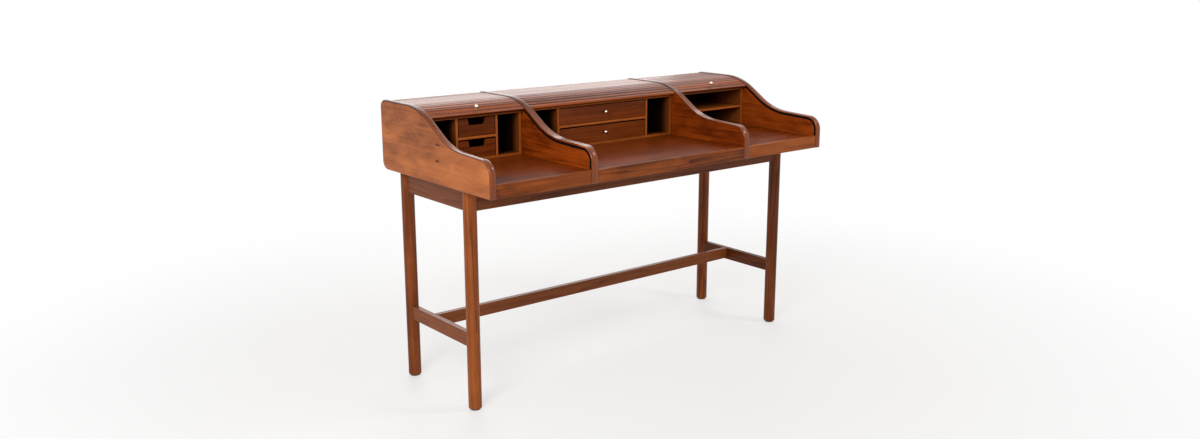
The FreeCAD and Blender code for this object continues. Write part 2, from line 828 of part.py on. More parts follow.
def drawer(name, middle, opening, foot):
    """An open tray behind a thicker front, with running room in its opening."""
    x_low = f"{middle} - {opening} / 2 + drawer_side_gap"
    x_high = f"{middle} + {opening} / 2 - drawer_side_gap"
    base = f"{foot} + drawer_foot_gap"
    block = box(
        f"{name}_block", (x_low, x_high), ("unit_front", "unit_front + drawer_depth"),
        (base, f"{base} + drawer_height"),
    )
    hollow = box(
        f"{name}_hollow", (f"{x_low} + drawer_wall", f"{x_high} - drawer_wall"),
        ("unit_front + drawer_front", "unit_front + drawer_depth - drawer_wall"),
        (f"{base} + drawer_bottom", f"{base} + drawer_height"),
    )
    return cut(f"{name}_tray", block, hollow)


LEVELS = (("upper", "shelf_level"), ("lower", "floor_level"))
for level, foot in LEVELS:
    name = f"{level}_small_drawer"
    tray = drawer(name, "-side_centre", "small_opening", foot)
    top = size(foot) + size("drawer_foot_gap") + size("drawer_height")
    bite = doc.addObject("PartDesign::Body", f"{name}_notch")
    # the normal of the XZ plane points to the front, so the notch is raised from behind the front
    page = sketch(
        bite, f"{name}_notch_outline", "XZ_Plane", notch_outline(-size("side_centre"), top),
        -size("unit_front") - size("drawer_front") - NOTCH_OVERCUT,
    )
    pad(bite, page, f"drawer_front + {2 * NOTCH_OVERCUT}")
    node(cut(f"{name}_front", tray, bite), name)

    name = f"{level}_wide_drawer"
    node(drawer(name, "0", "wide_opening", foot), name)
    middle = size(foot) + size("drawer_foot_gap") + size("drawer_height") / 2
    knob_z = middle + size("drawer_knob_rise")
    forwards = Rotation(Vector(1, 0, 0), 90)
    knob(f"{level}_pull", f"{level}_drawer_knob", forwards, 0.0, size("unit_front"), knob_z)

# ---------------------------------------------------------------- the stand

LEGS = {
    "front_left": ("-leg_x", "front_leg_y"),
    "front_right": ("leg_x", "front_leg_y"),
    "back_left": ("-leg_x", "back_leg_y"),
    "back_right": ("leg_x", "back_leg_y"),
}
round_legs = {}
glides = []
for name, (x, y) in LEGS.items():
    bar = cylinder(f"{name}_bar", "leg_diameter / 2", "case_base - glide_thick", x, y, "glide_thick")
    doc.recompute()
    rims = [
        number for number, line in enumerate(bar.Shape.Edges, 1)
        if line.BoundBox.ZMax < size("glide_thick") + size("leg_round")
    ]
    turned = doc.addObject("Part::Fillet", f"{name}_turned")
    turned.Base = bar
    turned.Edges = [(rims[0], size("leg_round"), size("leg_round"))]
    round_legs[name] = turned
    glides.append(cylinder(f"{name}_glide", "glide_diameter / 2", "glide_thick", x, y))
glide_group = doc.addObject("Part::Compound", "glide_group")
glide_group.Links = glides
node(glide_group, "leg_glides")

mortises = {name: [] for name in LEGS}


def rail(name, low_leg, high_leg, thick, base, height):
    """A rail between two legs: scribed to their round sides, with a tenon into each."""
    along_desk = LEGS[low_leg][1] == LEGS[high_leg][1]
    ends = [LEGS[leg][0 if along_desk else 1] for leg in (low_leg, high_leg)]
    across = LEGS[low_leg][1 if along_desk else 0]
    up = (base, f"{base} + {height}")
    tenon_up = (f"{base} + tenon_shoulder", f"{base} + {height} - tenon_shoulder")

    def bar(label, run, width, rise):
        side = (f"{across} - {width} / 2", f"{across} + {width} / 2")
        return box(label, run, side, rise) if along_desk else box(label, side, run, rise)

    blank = bar(f"{name}_blank", ends, thick, up)
    scribed = cut(f"{name}_scribed", blank, round_legs[low_leg], round_legs[high_leg])
    reach = "leg_diameter / 2 + tenon_root"
    low_tenon = bar(
        f"{name}_low_tenon", (f"{ends[0]} + tenon_root", f"{ends[0]} + {reach}"), "tenon_thick", tenon_up
    )
    high_tenon = bar(
        f"{name}_high_tenon", (f"{ends[1]} - ({reach})", f"{ends[1]} - tenon_root"), "tenon_thick", tenon_up
    )
    mortises[low_leg].append(low_tenon)
    mortises[high_leg].append(high_tenon)
    return join(f"{name}_joined", scribed, low_tenon, high_tenon)


FRAME = (
    ("front_rail", "front_left", "front_right"),
    ("back_rail", "back_left", "back_right"),
    ("left_rail", "front_left", "back_left"),
    ("right_rail", "front_right", "back_right"),
)
for name, low_leg, high_leg in FRAME:
    node(rail(name, low_leg, high_leg, "rail_thick", "rail_base", "rail_height"), name)

long_up = ("long_stretcher_base", "long_stretcher_base + long_stretcher_height")
long_across = (
    "long_stretcher_y - long_stretcher_thick / 2", "long_stretcher_y + long_stretcher_thick / 2"
)
long_bar = box(
    "long_bar", ("-leg_x + stretcher_thick / 2", "leg_x - stretcher_thick / 2"), long_across, long_up
)
long_tenon = box(
    "long_tenon",
    ("-leg_x + stretcher_thick / 2 - stretcher_tenon", "leg_x - stretcher_thick / 2 + stretcher_tenon"),
    ("long_stretcher_y - tenon_thick / 2", "long_stretcher_y + tenon_thick / 2"),
    (f"{long_up[0]} + tenon_shoulder", f"{long_up[1]} - tenon_shoulder"),
)
for side in ("left", "right"):
    name = f"{side}_stretcher"
    plain = rail(
        f"{name}_plain", f"front_{side}", f"back_{side}",
        "stretcher_thick", "stretcher_base", "stretcher_height",
    )
    node(cut(f"{name}_mortised", plain, long_tenon), name)
node(join("long_joined", long_bar, long_tenon), "long_stretcher")

for name in LEGS:
    node(cut(f"{name}_mortised", round_legs[name], *mortises[name]), f"{name}_leg")

# ---------------------------------------------------------------- check and export

doc.recompute()
for thing in doc.Objects:
    if "Invalid" in thing.State or "Error" in thing.State:
        raise RuntimeError(f"{thing.Name} failed: {thing.State}")
os.makedirs("parts", exist_ok=True)
for thing in NODES:
    shape = thing.Shape
    if shape.isNull() or not shape.isValid() or not shape.Solids:
        raise RuntimeError(f"{thing.Label} has no sound solid")
    shape.exportStep(f"parts/{thing.Label}.step")
print(len(NODES), "nodes written")
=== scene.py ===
# %% [markdown]
# # A tambour desk
# The desk has three bays under one reeded roof: two side bays with a sliding tambour door, and an
# open bay between them. It stands on four round legs. Its exact solids are loaded first as a fixed
# frame. Each piece made here stands for one of them and moves with it, so nothing is fitted by eye.

# %% Load the frame
import json
import math

import bmesh
import bpy
import numpy as np
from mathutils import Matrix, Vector


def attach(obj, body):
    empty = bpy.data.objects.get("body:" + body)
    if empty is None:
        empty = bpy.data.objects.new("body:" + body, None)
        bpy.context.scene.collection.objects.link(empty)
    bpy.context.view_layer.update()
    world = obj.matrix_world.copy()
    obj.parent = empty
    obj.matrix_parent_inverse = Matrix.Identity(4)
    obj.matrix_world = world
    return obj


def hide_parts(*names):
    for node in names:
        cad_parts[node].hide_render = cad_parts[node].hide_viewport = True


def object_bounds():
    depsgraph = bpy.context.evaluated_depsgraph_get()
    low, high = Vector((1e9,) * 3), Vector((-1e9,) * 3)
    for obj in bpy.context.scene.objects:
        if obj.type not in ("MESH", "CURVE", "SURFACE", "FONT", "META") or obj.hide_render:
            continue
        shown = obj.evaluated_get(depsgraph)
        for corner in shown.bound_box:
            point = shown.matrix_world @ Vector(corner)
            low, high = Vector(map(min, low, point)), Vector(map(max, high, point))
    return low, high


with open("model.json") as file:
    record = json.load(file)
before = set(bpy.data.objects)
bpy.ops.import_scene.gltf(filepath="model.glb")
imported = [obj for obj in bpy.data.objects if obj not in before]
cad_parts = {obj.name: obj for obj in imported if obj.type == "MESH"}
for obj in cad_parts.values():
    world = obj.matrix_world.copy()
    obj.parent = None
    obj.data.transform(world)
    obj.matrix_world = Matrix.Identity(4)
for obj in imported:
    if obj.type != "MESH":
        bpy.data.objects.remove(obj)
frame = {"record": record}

MM = 0.001
UNIT_FRONT = 50 * MM  # the front edges of the pigeonhole units, on the y axis
frame_low, frame_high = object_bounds()
BODY_OF = {
    node: body for body, nodes in frame["record"]["behaviour"]["bodies"].items() for node in nodes
}
SEED = 11
chance = np.random.default_rng(SEED)
print(len(BODY_OF), "solids in the frame, from", tuple(frame_low), "to", tuple(frame_high))

# %% [markdown]
# ## Lines in the side view
# The gables, the dividers, the roof and the curtain all follow one S-shaped line. It is made of
# straight runs joined by round corners, because such a line can be set off sideways exactly: each
# point moves along its own normal, so the groove and the roof stay parallel to the edge.

# %% A path of runs and round corners
FLAT = 0.03 * MM  # how far a straight piece of an arc may lie inside it
SAME_WAY = 1e-7  # two ways that differ by less are one point


def turned(points, angle):
    """Points of a plane turned about its origin: (a cos t - b sin t, a sin t + b cos t)."""
    across, up = np.moveaxis(np.asarray(points, float), -1, 0)
    cos, sin = np.cos(angle), np.sin(angle)
    return np.stack((across * cos - up * sin, across * sin + up * cos), -1)


def ways_along(points):
    """The way to each point: the lengths of the straight pieces before it, added up."""
    steps = np.linalg.norm(np.diff(points, axis=0), axis=1)
    return np.concatenate(((0.0,), np.cumsum(steps)))


class Path:
    """Straight runs joined by round corners in a plane, as arrays of points.

    A corner of radius r that turns by t is left r*tan(t/2) before it. Its arc is
    centre + turn(a) * (start - centre), with a from 0 to t and the centre r to the side.
    """

    def __init__(self, corners, radii, closed=False):
        corners = [np.array(corner, float) for corner in corners]
        points, ahead = [], []
        if closed:
            around = zip(corners[-1:] + corners[:-1], corners, corners[1:] + corners[:1], radii)
        else:
            around = zip(corners, corners[1:], corners[2:], radii)
            points.append(corners[0][None])
            ahead.append((corners[1] - corners[0])[None])
        for before, corner, after, radius in around:
            way_in = (corner - before) / np.linalg.norm(corner - before)
            way_out = (after - corner) / np.linalg.norm(after - corner)
            turn = math.atan2(way_in[0] * way_out[1] - way_in[1] * way_out[0], way_in @ way_out)
            start = corner - way_in * radius * math.tan(abs(turn) / 2)
            side = np.array((-way_in[1], way_in[0])) * math.copysign(radius, turn)
            pieces = 1
            if radius > FLAT:
                pieces = max(1, math.ceil(abs(turn) / (2 * math.acos(1 - FLAT / radius))))
            angle = turn * np.linspace(0, 1, pieces + 1)
            points.append(start + side + turned(-side, angle))
            ahead.append(turned(way_in, angle))
        if not closed:
            points.append(corners[-1][None])
            ahead.append((corners[-1] - corners[-2])[None])
        self.points = np.vstack(points)
        ahead = np.vstack(ahead)
        if closed:
            self.points = np.vstack((self.points, self.points[:1]))
            ahead = np.vstack((ahead, ahead[:1]))
        ahead /= np.linalg.norm(ahead, axis=1)[:, None]
        self.right = np.stack((ahead[:, 1], -ahead[:, 0]), 1)
        self.way = ways_along(self.points)

    def at(self, way, depth=0.0):
        """Points at ways along the path, set off to its right by a depth."""
        place = [np.interp(way, self.way, self.points[:, k]) for k in (0, 1)]
        right = np.stack([np.interp(way, self.way, self.right[:, k]) for k in (0, 1)], -1)
        right /= np.linalg.norm(right, axis=-1, keepdims=True)
        return np.stack(place, -1) + right * np.asarray(depth)[..., None]

    def part(self, start, end):
        """The path's own points between two ways, with a point at both ends."""
        inside = (self.way > start + SAME_WAY) & (self.way < end - SAME_WAY)
        return self.at(np.concatenate(((start,), self.way[inside], (end,))))

    def way_to(self, reach):
        """The way at which the path has come this far back in the desk."""
        return float(np.interp(reach, self.points[:, 0], self.way))


# %% The sizes of the case
SQUARE = 0.1 * MM  # a corner that is left square
FRONT, BACK = frame_low[1], frame_high[1]
BASE, TOP = 698 * MM, frame_high[2]
WORKTOP = 740 * MM
NOSE = (FRONT, 808 * MM)
NOSE_SLOPE = math.radians(2.3)
FOOT = (BACK - 409 * MM, NOSE[1] + math.tan(NOSE_SLOPE) * (BACK - 409 * MM - FRONT))
CREST = (BACK - 237.7 * MM, TOP)
SLOPE = math.atan2(CREST[1] - FOOT[1], CREST[0] - FOOT[0])
NOSE_RADIUS, FOOT_RADIUS, CREST_RADIUS, BACK_RADIUS = 48 * MM, 255 * MM, 250 * MM, 25 * MM
PANEL_INNER, PANEL_OUTER, PANEL_TOP = 307 * MM, 313 * MM, 899 * MM
LEDGER_FRONT, LEDGER_TOP, BOARD_TOP = 270 * MM, 718 * MM, 710 * MM
LIP_FRONT, LIP_BACK = FRONT + 4 * MM, FRONT + 24 * MM
GABLE_INNER, BAY_EDGE, CENTRE_EDGE = 689 * MM, 343.5 * MM, 318.5 * MM
BAYS = (
    ("left", -GABLE_INNER, -BAY_EDGE), ("centre", -CENTRE_EDGE, CENTRE_EDGE),
    ("right", BAY_EDGE, GABLE_INNER),
)

edge = Path(
    [(FRONT, BASE), NOSE, FOOT, CREST, (BACK, TOP), (BACK, PANEL_TOP)],
    [NOSE_RADIUS, FOOT_RADIUS, CREST_RADIUS, BACK_RADIUS - SQUARE],
)
print("S-shaped edge:", len(edge.points), "points,", round(edge.way[-1], 4), "m long")

# %% [markdown]
# ## Surfaces as arrays
# Every surface is a grid of points worked out in one go with numpy: a row for each step along a
# path and a column for each step of its section. Three things ride along with the points. "grain"
# is the place in the piece of wood that a point was cut from, with x along the grain. "tone" makes
# one board darker or lighter than the next, and on some faces it is painted light and shade. The
# third is 1 where dirt and lacquer gather and where shade is painted, in valleys, gaps and holes,
# and -1 where an edge is rubbed pale, which is partly a painted highlight. All are kept for each
# corner of a face, so a seam between two boards stays sharp where they share a point.

# %% Collect surfaces and make a mesh of them
MERGED = 2e-6  # points of a shell that lie closer than this become one


class Piece:
    """One piece of the desk: points and faces, with the grain, tone, dirt and painted shade, and finish
    of each.
    """

    def __init__(self, node, name=None):
        self.node = node
        self.name = name or f"{node}_wood"
        self.count = 0
        self.points, self.faces, self.finish = [], [], []
        self.grain, self.tone, self.soil = [], [], []
        self.shells = [0]

    def add(self, points, faces, grain, tone=0.0, finish=0, soil=0.0):
        """Take in points with their faces, which name the points by number."""
        points = np.asarray(points, float).reshape(-1, 3)
        self.points.append(points)
        self.faces += [[number + self.count for number in face] for face in faces]
        self.grain.append(np.broadcast_to(grain, points.shape))
        self.tone.append(np.broadcast_to(tone, len(points)))
        self.soil.append(np.broadcast_to(soil, len(points)))
        self.finish += [finish] * len(faces)
        self.count += len(points)

    def grid(self, points, grain, tone=0.0, finish=0, soil=0.0):
        """A surface over rows and columns: each face joins point (i, j) to (i+1, j+1)."""
        rows, columns = points.shape[:2]
        number = np.arange(rows * columns).reshape(rows, columns)
        quads = np.stack((number[:-1, :-1], number[1:, :-1], number[1:, 1:], number[:-1, 1:]), -1)
        spread = [np.broadcast_to(value, (rows, columns)).ravel() for value in (tone, soil)]
        grain = np.broadcast_to(grain, points.shape).reshape(-1, 3)
        self.add(points, quads.reshape(-1, 4).tolist(), grain, spread[0], finish, spread[1])

    def face(self, points, grain, tone=0.0, finish=0):
        """One flat face with as many corners as there are points."""
        self.add(points, [list(range(len(points)))], grain, tone, finish)

    def close(self):
        """End a shell: its doubled points are merged, and the next shell stays apart from it."""
        self.shells.append(self.count)

    def made(self, finishes, smooth=40):
        """The finished object: merged, turned outwards, smooth but for its sharp edges."""
        mesh = bpy.data.meshes.new(self.name)
        mesh.from_pydata(np.vstack(self.points), [], self.faces)
        corners = np.concatenate([np.array(face) for face in self.faces])
        grain = mesh.attributes.new("grain", "FLOAT_VECTOR", "CORNER")
        grain.data.foreach_set("vector", np.vstack(self.grain)[corners].ravel())
        for name, values in (("tone", self.tone), ("soil", self.soil)):
            kept = mesh.attributes.new(name, "FLOAT", "CORNER")
            kept.data.foreach_set("value", np.concatenate(values)[corners])
        mesh.polygons.foreach_set("material_index", self.finish)
        work = bmesh.new()
        work.from_mesh(mesh)
        work.verts.ensure_lookup_table()
        shells = [work.verts[low:high] for low, high in zip(self.shells, self.shells[1:])]
        for shell in shells:
            bmesh.ops.remove_doubles(work, verts=shell, dist=MERGED)
        bmesh.ops.recalc_face_normals(work, faces=work.faces)
        work.to_mesh(mesh)
        work.free()
        mesh.shade_smooth()
        mesh.set_sharp_from_angle(angle=math.radians(smooth))
        for finish in finishes:
            mesh.materials.append(finish)
        piece = bpy.data.objects.new(self.name, mesh)
        bpy.context.scene.collection.objects.link(piece)
        shading = piece.modifiers.new("flat faces stay flat", "WEIGHTED_NORMAL")
        shading.keep_sharp = True
        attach(piece, BODY_OF[self.node])
        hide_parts(self.node)
        print(self.name, len(mesh.vertices), "points")
        return piece


BOARD_SHIFT = np.array((3.7, 1.3, 0.9))  # metres of wood between the places of two boards


def cut_from(points, along, board=0.0):
    """Grain of a flat board: the place of each point, with the axis along the grain put first."""
    order = {"x": (0, 1, 2), "y": (1, 0, 2), "z": (2, 0, 1)}[along]
    return np.asarray(points)[..., order] + board * BOARD_SHIFT


# %% [markdown]
# ## Shader maths as plain expressions
# A wood's colour is a sum of patterns. Written as nodes one by one that is hard to read, so a
# small class wraps a node's output and lets + - * build the Math nodes.

# %% A wire between nodes
class Wire:
    """An output of a node in a material. Arithmetic on it adds Math nodes."""

    def __init__(self, socket):
        self.socket = socket

    @staticmethod
    def node(tree, kind, settings=None, sockets=None, out=0):
        """Add a node, set its settings first and then its sockets, and give one output."""
        made = tree.nodes.new(kind)
        for name, value in (settings or {}).items():
            if name == "stops":
                ramp = made.color_ramp
                while len(ramp.elements) < len(value):
                    ramp.elements.new(0.5)
                for stop, (place, color) in zip(ramp.elements, value):
                    stop.position = place
                    stop.color = (*color, 1)
            else:
                setattr(made, name, value)
        for name, value in (sockets or {}).items():
            if isinstance(value, Wire):
                tree.links.new(value.socket, made.inputs[name])
            else:
                made.inputs[name].default_value = value
        return Wire(made.outputs[out])

    def math(self, operation, other=0.0, flip=False):
        """A Math node on this and another value."""
        pair = (other, self) if flip else (self, other)
        tree = self.socket.id_data
        return self.node(tree, "ShaderNodeMath", {"operation": operation}, dict(enumerate(pair)))

    def __add__(self, other):
        return self.math("ADD", other)

    def __sub__(self, other):
        return self.math("SUBTRACT", other)

    def __rsub__(self, other):
        return self.math("SUBTRACT", other, True)

    def __mul__(self, other):
        return self.math("MULTIPLY", other)

    __radd__ = __add__
    __rmul__ = __mul__

    def smooth(self, low, high):
        """0 below low, 1 above high, and a smooth step between."""
        return self.node(
            self.socket.id_data, "ShaderNodeMapRange", {"interpolation_type": "SMOOTHSTEP"},
            {"Value": self, "From Min": low, "From Max": high},
        )

    def shaded(self, share):
        """This colour times a value: the grey of that value, multiplied in by a Mix node."""
        tree = self.socket.id_data
        grey = self.node(tree, "ShaderNodeCombineXYZ", {}, {0: share, 1: share, 2: share})
        settings = {"data_type": "RGBA", "blend_type": "MULTIPLY"}
        return self.node(tree, "ShaderNodeMix", settings, {0: 1.0, 6: self, 7: grey}, 2)


def paint(red, green, blue):
    """A colour from 0 to 255 per channel as the shader's linear light."""
    parts = np.array((red, green, blue)) / 255
    return tuple(np.where(parts <= 0.04045, parts / 12.92, ((parts + 0.055) / 1.055) ** 2.4).tolist())


def blank(name):
    """A new material, its tree, and its main shader."""
    material = bpy.data.materials.new(name)
    material.use_nodes = True
    return material, material.node_tree, material.node_tree.nodes["Principled BSDF"]


def feed(tree, shader, sockets):
    """Link wires to a shader's sockets, or set plain values on them."""
    for name, value in sockets.items():
        if isinstance(value, Wire):
            tree.links.new(value.socket, shader.inputs[name])
        else:
            shader.inputs[name].default_value = value


def told(tree, name, out="Fac"):
    """What the mesh says under a name at this point of the surface."""
    return Wire.node(tree, "ShaderNodeAttribute", {"attribute_name": name}, out=out)


def axes(tree, place):
    """The three parts of a place."""
    parts = Wire.node(tree, "ShaderNodeSeparateXYZ", {}, {0: place}).socket.node
    return [Wire(socket) for socket in parts.outputs]


def stretched(tree, place, cells):
    """A place scaled to a number of cells per metre along, across and into the wood."""
    return Wire.node(tree, "ShaderNodeVectorMath", {"operation": "MULTIPLY"}, {0: place, 1: cells})


def noise(tree, place, cells, detail=2.0, distortion=0.0, rough=0.5):
    """Cloudy noise from 0 to 1 with a number of cells per metre in each direction."""
    sockets = {"Vector": stretched(tree, place, cells), "Scale": 1.0, "Detail": detail}
    sockets.update({"Roughness": rough, "Distortion": distortion})
    return Wire.node(tree, "ShaderNodeTexNoise", {}, sockets)


def ramp(tree, stops, value):
    """The colour that a row of stops gives to a value."""
    return Wire.node(tree, "ShaderNodeValToRGB", {"stops": stops}, {0: value})


def bump(tree, height, depth):
    """A normal that a height from 0 to 1 tilts, as if it were depth metres high."""
    return Wire.node(tree, "ShaderNodeBump", {}, {"Strength": 1.0, "Distance": depth, "Height": height})


# %% [markdown]
# ## Walnut under a satin lacquer
# Sawn walnut shows five things at five sizes: slow changes of shade, the growth rings as wavy
# bands, streaks of a few millimetres, open pores as short dark dashes, and here and there a pin
# knot. All but the rings and knots are noise that is stretched along the grain. A ring is the
# fraction of (across + warp), cubed: it darkens slowly and ends in a sharp line, and the lines
# bend where the warp changes, as on a flat-sawn board. A knot is the middle of a random cell. One
# sum of them picks a shade between a dark and a light walnut. Lacquer lies over it as a thin coat.

# %% One walnut
GLUE_LINE, LINE_EDGE = 0.9 * MM, 0.7 * MM
# painted shade: a darker line just behind the front edges of a cabinet
PAINTED_SHADE_EDGE = (UNIT_FRONT + 0.4 * MM, UNIT_FRONT + 3 * MM)
DARK, LIGHT = (0.5, 0.42, 0.36), (1.5, 1.6, 1.7)  # the ends of the shades, times the middle one


def walnut(
    name, shade, clouds, rings, streaks, gloss, coat, knots=0.0, seam=0.0, stained=None,
    polished=None, worn=False,
):
    """Lacquered walnut around one shade: clouds, rings, streaks and knots say how lively it is.

    seam draws the glue line of a lipping. A pair of depths on the y axis paints shade: the wood goes
    black behind the front edges of a cabinet, after a darker line just behind the edges, as painted
    shade in its holes. polished lets the lacquer grow to its full weight between two depths on the y
    axis. worn thins the lacquer where the tone is dark. Noise is given in cells per metre along,
    across and into the wood.
    """
    material, tree, shader = blank(f"{name}_walnut")
    place = told(tree, "grain", "Vector")
    tone, soil = told(tree, "tone"), told(tree, "soil")
    along, across, deep = axes(tree, place)
    cloud = noise(tree, place, (1.6, 7, 7), 2)
    mottle = noise(tree, place, (9, 24, 24), 3, 0.6)
    warp = noise(tree, place, (0.7, 13, 13), 3, 0.3)
    ring = ((across + deep * 0.6) * 80 + warp * 7).math("FRACT")
    late = ring * ring * ring
    streak = noise(tree, place, (2.6, 330, 330), 4, 0.2, 0.7)
    fibres = noise(tree, place, (18, 1300, 1300), 2)
    pores = noise(tree, place, (90, 2600, 2600), 1).smooth(0.60, 0.72)
    level = (
        (cloud - 0.5) * clouds + (mottle - 0.5) * clouds + (0.25 - late) * rings
        + (streak - 0.5) * streaks + (fibres - 0.5) * 0.3 + tone * 0.5 - soil * 0.2 - pores * 0.14 + 0.5
    )
    if knots:
        on_face = Wire.node(tree, "ShaderNodeCombineXYZ", {}, {0: along * 6, 1: (across + deep) * 18})
        sockets = {"Vector": on_face, "Scale": 1.0}
        cell = Wire.node(tree, "ShaderNodeTexVoronoi", {"voronoi_dimensions": "2D"}, sockets)
        picked = Wire(cell.socket.node.outputs["Color"]).smooth(0.66, 0.9)
        level = level - (1 - cell.smooth(0.02, 0.11)) * picked * knots
    middle = np.array(paint(*shade))
    dark, light = middle * DARK, middle * LIGHT
    color = ramp(tree, ((0.0, dark * 0.4), (0.26, dark), (0.52, middle), (0.84, light)), level)
    # dirt and painted shade darken the colour: valleys, gaps, holes and unlit faces
    color = color.shaded(1 - soil.math("MAXIMUM", 0.0) * (streak * 0.5 + 0.45))
    if seam:
        rise = across.smooth(seam - GLUE_LINE, seam - GLUE_LINE + LINE_EDGE)
        color = color.shaded(1 - (rise - across.smooth(seam, seam + LINE_EDGE)) * 0.7)
    if stained or polished:
        depth = axes(tree, Wire.node(tree, "ShaderNodeTexCoord", out="Object"))[1]
    # painted shade: darker just behind the front edges of a cabinet, then black deeper in
    if stained:
        color = color.shaded(1 - depth.smooth(*PAINTED_SHADE_EDGE) * 0.5)
        color = color.shaded(1 - (depth + (fibres - 0.5) * 0.01).smooth(*stained) * 0.93)
    if worn:
        coat = (tone * 1.5 + 1).math("MAXIMUM", 0.3).math("MINIMUM", 1.3) * coat
    if polished:
        coat = coat * (depth.smooth(*polished) * 0.8 + 0.2)
    relief = 1 - pores + fibres * 0.5 + streak * 0.4
    feed(tree, shader, {
        "Base Color": color,
        "Roughness": (fibres - 0.5) * 0.12 + gloss + pores * 0.1,
        "Normal": bump(tree, relief, 0.06 * MM),
        "Specular IOR Level": 0.1,
        "Coat Weight": coat,
        "Coat Roughness": 0.14,
    })
    return material


# %% The wood finishes
WOODS = {  # each has its shade, clouds, rings, streaks, gloss, coat, and what is special about it
    "case": ((164, 91, 43), 0.75, 0.07, 0.5, 0.38, 0.1, {"knots": 0.48}),
    # bay is the case walnut painted darker and redder for the faces inside the bays: painted shade
    "bay": ((146, 62, 12), 0.8, 0.2, 0.7, 0.38, 0.04, {}),
    "edge": ((126, 60, 20), 0.3, 0.1, 0.5, 0.3, 0.4, {"seam": 2.8 * MM, "worn": True}),
    "worktop": ((112, 47, 8), 0.7, 0.22, 0.9, 0.34, 0.1, {}),
    "lip": ((128, 62, 18), 0.8, 0.3, 0.9, 0.3, 0.1, {}),
    "reeded": (
        (144, 70, 26), 0.4, 0.1, 1.0, 0.42, 0.34, {"worn": True, "polished": (60 * MM, 150 * MM)}
    ),
    # pigeonhole and shelf go black behind their front edges: painted shade in the holes
    "pigeonhole": ((146, 74, 26), 0.35, 0.12, 0.8, 0.38, 0.03, {"stained": (54 * MM, 96 * MM)}),
    "shelf": ((146, 74, 26), 0.35, 0.12, 0.8, 0.38, 0.03, {"stained": (110 * MM, 300 * MM)}),
    "drawer": ((112, 50, 13), 0.45, 0.22, 0.9, 0.38, 0.03, {}),
    # inside is near black: painted shade at the back of the pigeonholes
    "inside": ((40, 20, 12), 0.4, 0.2, 0.5, 0.6, 0.0, {}),
    "drawer_box": ((92, 52, 27), 0.4, 0.3, 0.6, 0.6, 0.0, {}),
    "stand": ((142, 74, 30), 0.4, 0.25, 0.6, 0.34, 0.1, {}),
    "rail": ((112, 58, 26), 0.4, 0.25, 0.6, 0.36, 0.08, {}),
    "back": ((126, 68, 34), 0.6, 0.35, 0.5, 0.5, 0.0, {}),
    # groove is near black: painted shade in the groove and on the rim below it
    "groove": ((9, 8, 10), 0.3, 0.1, 0.3, 0.7, 0.0, {}),
}
wood = {name: walnut(name, *look, **special) for name, (*look, special) in WOODS.items()}
print(len(wood), "wood finishes made")

# %% [markdown]
# ## Metal, cloth and plastic
# The knobs are turned: fine rings run round them, so a pattern on their own height is enough. The
# canvas behind the slats is a plain weave, two waves at right angles. The glides are hard plastic
# with a fine grain.

# %% The other finishes
def times(color, share):
    """A colour with each of its channels times a share."""
    return tuple(share * part for part in color)


def turned_metal(name, color, rough):
    """Polished metal with faint turning rings and small changes of gloss."""
    material, tree, shader = blank(name)
    place = told(tree, "grain", "Vector")
    rings = noise(tree, place, (9000, 40, 40), 1)
    cloud = noise(tree, place, (300, 300, 300), 2)
    feed(tree, shader, {
        "Base Color": ramp(tree, ((0.3, times(color, 0.8)), (0.6, color)), cloud),
        "Metallic": 1.0,
        "Roughness": (rings - 0.5) * 0.1 + (cloud - 0.5) * 0.1 + rough,
        "Normal": bump(tree, rings, 0.01 * MM),
    })
    return material


THREADS = 5200  # radians of the weave's two waves per metre


def woven(name, color):
    """Plain weave: over and under as the product of two sines of the place."""
    material, tree, shader = blank(name)
    along, across = axes(tree, told(tree, "grain", "Vector"))[:2]
    height = (along * THREADS).math("SINE") * (across * THREADS).math("SINE") * 0.5 + 0.5
    feed(tree, shader, {
        "Base Color": ramp(tree, ((0.0, times(color, 0.45)), (1.0, color)), height),
        "Roughness": 0.9,
        "Normal": bump(tree, height, 0.2 * MM),
    })
    return material


def moulded(name, color):
    """Hard matt plastic with a fine grain."""
    material, tree, shader = blank(name)
    speckle = noise(tree, told(tree, "grain", "Vector"), (1800, 1800, 1800), 2)
    feed(tree, shader, {
        "Base Color": ramp(tree, ((0.2, color), (0.8, times(color, 1.6))), speckle),
        "Roughness": speckle * 0.2 + 0.5,
        "Normal": bump(tree, speckle, 0.05 * MM),
    })
    return material


nickel = turned_metal("knob_nickel", paint(236, 230, 212), 0.24)
brass = turned_metal("stem_brass", paint(190, 140, 84), 0.3)
# the drawer knobs' stems are the stem brass painted dark: painted shade
shaded_brass = turned_metal("stem_brass_in_shade", paint(66, 40, 26), 0.45)
screw_brass = turned_metal("screw_brass", paint(196, 158, 98), 0.35)
canvas_cloth = woven("curtain_canvas", paint(70, 56, 44))
glide_plastic = moulded("glide_plastic", paint(26, 24, 23))
print("metal, cloth and plastic made")

# %% [markdown]
# ## Gables and dividers
# A gable is one board with an S-shaped edge, lipped all round with solid wood and rounded by hand.
# Its section across the thickness is a quarter round, a flat and a quarter round. That section is
# carried round the outline: each point of it is set off from the outline by its inset. The groove of
# the curtain is a real channel with its walls and floor painted black, so the dark line beside the
# edge is its own shadow and painted shade, and a narrow rim below it is painted black as painted
# shade too.

# %% The ways of the curtain and its groove
SLAT_THICK, CANVAS_DEPTH = 4.5 * MM, 11.1 * MM
GROOVE_CUT, GROOVE_PLAY, GROOVE_ROOM = 6 * MM, 1 * MM, 6 * MM
# the rim below the groove is painted black: painted shade
GROOVE_RIM = 1.6 * MM
GROOVE_FOOT, GROOVE_HEAD = WORKTOP + 2 * MM, LEDGER_TOP + 3 * MM
GROOVE_REAR, REAR_RADIUS = 301 * MM, 43 * MM
DOOR_TRAVEL, LEAD_WIDTH = 402.087 * MM, 31 * MM


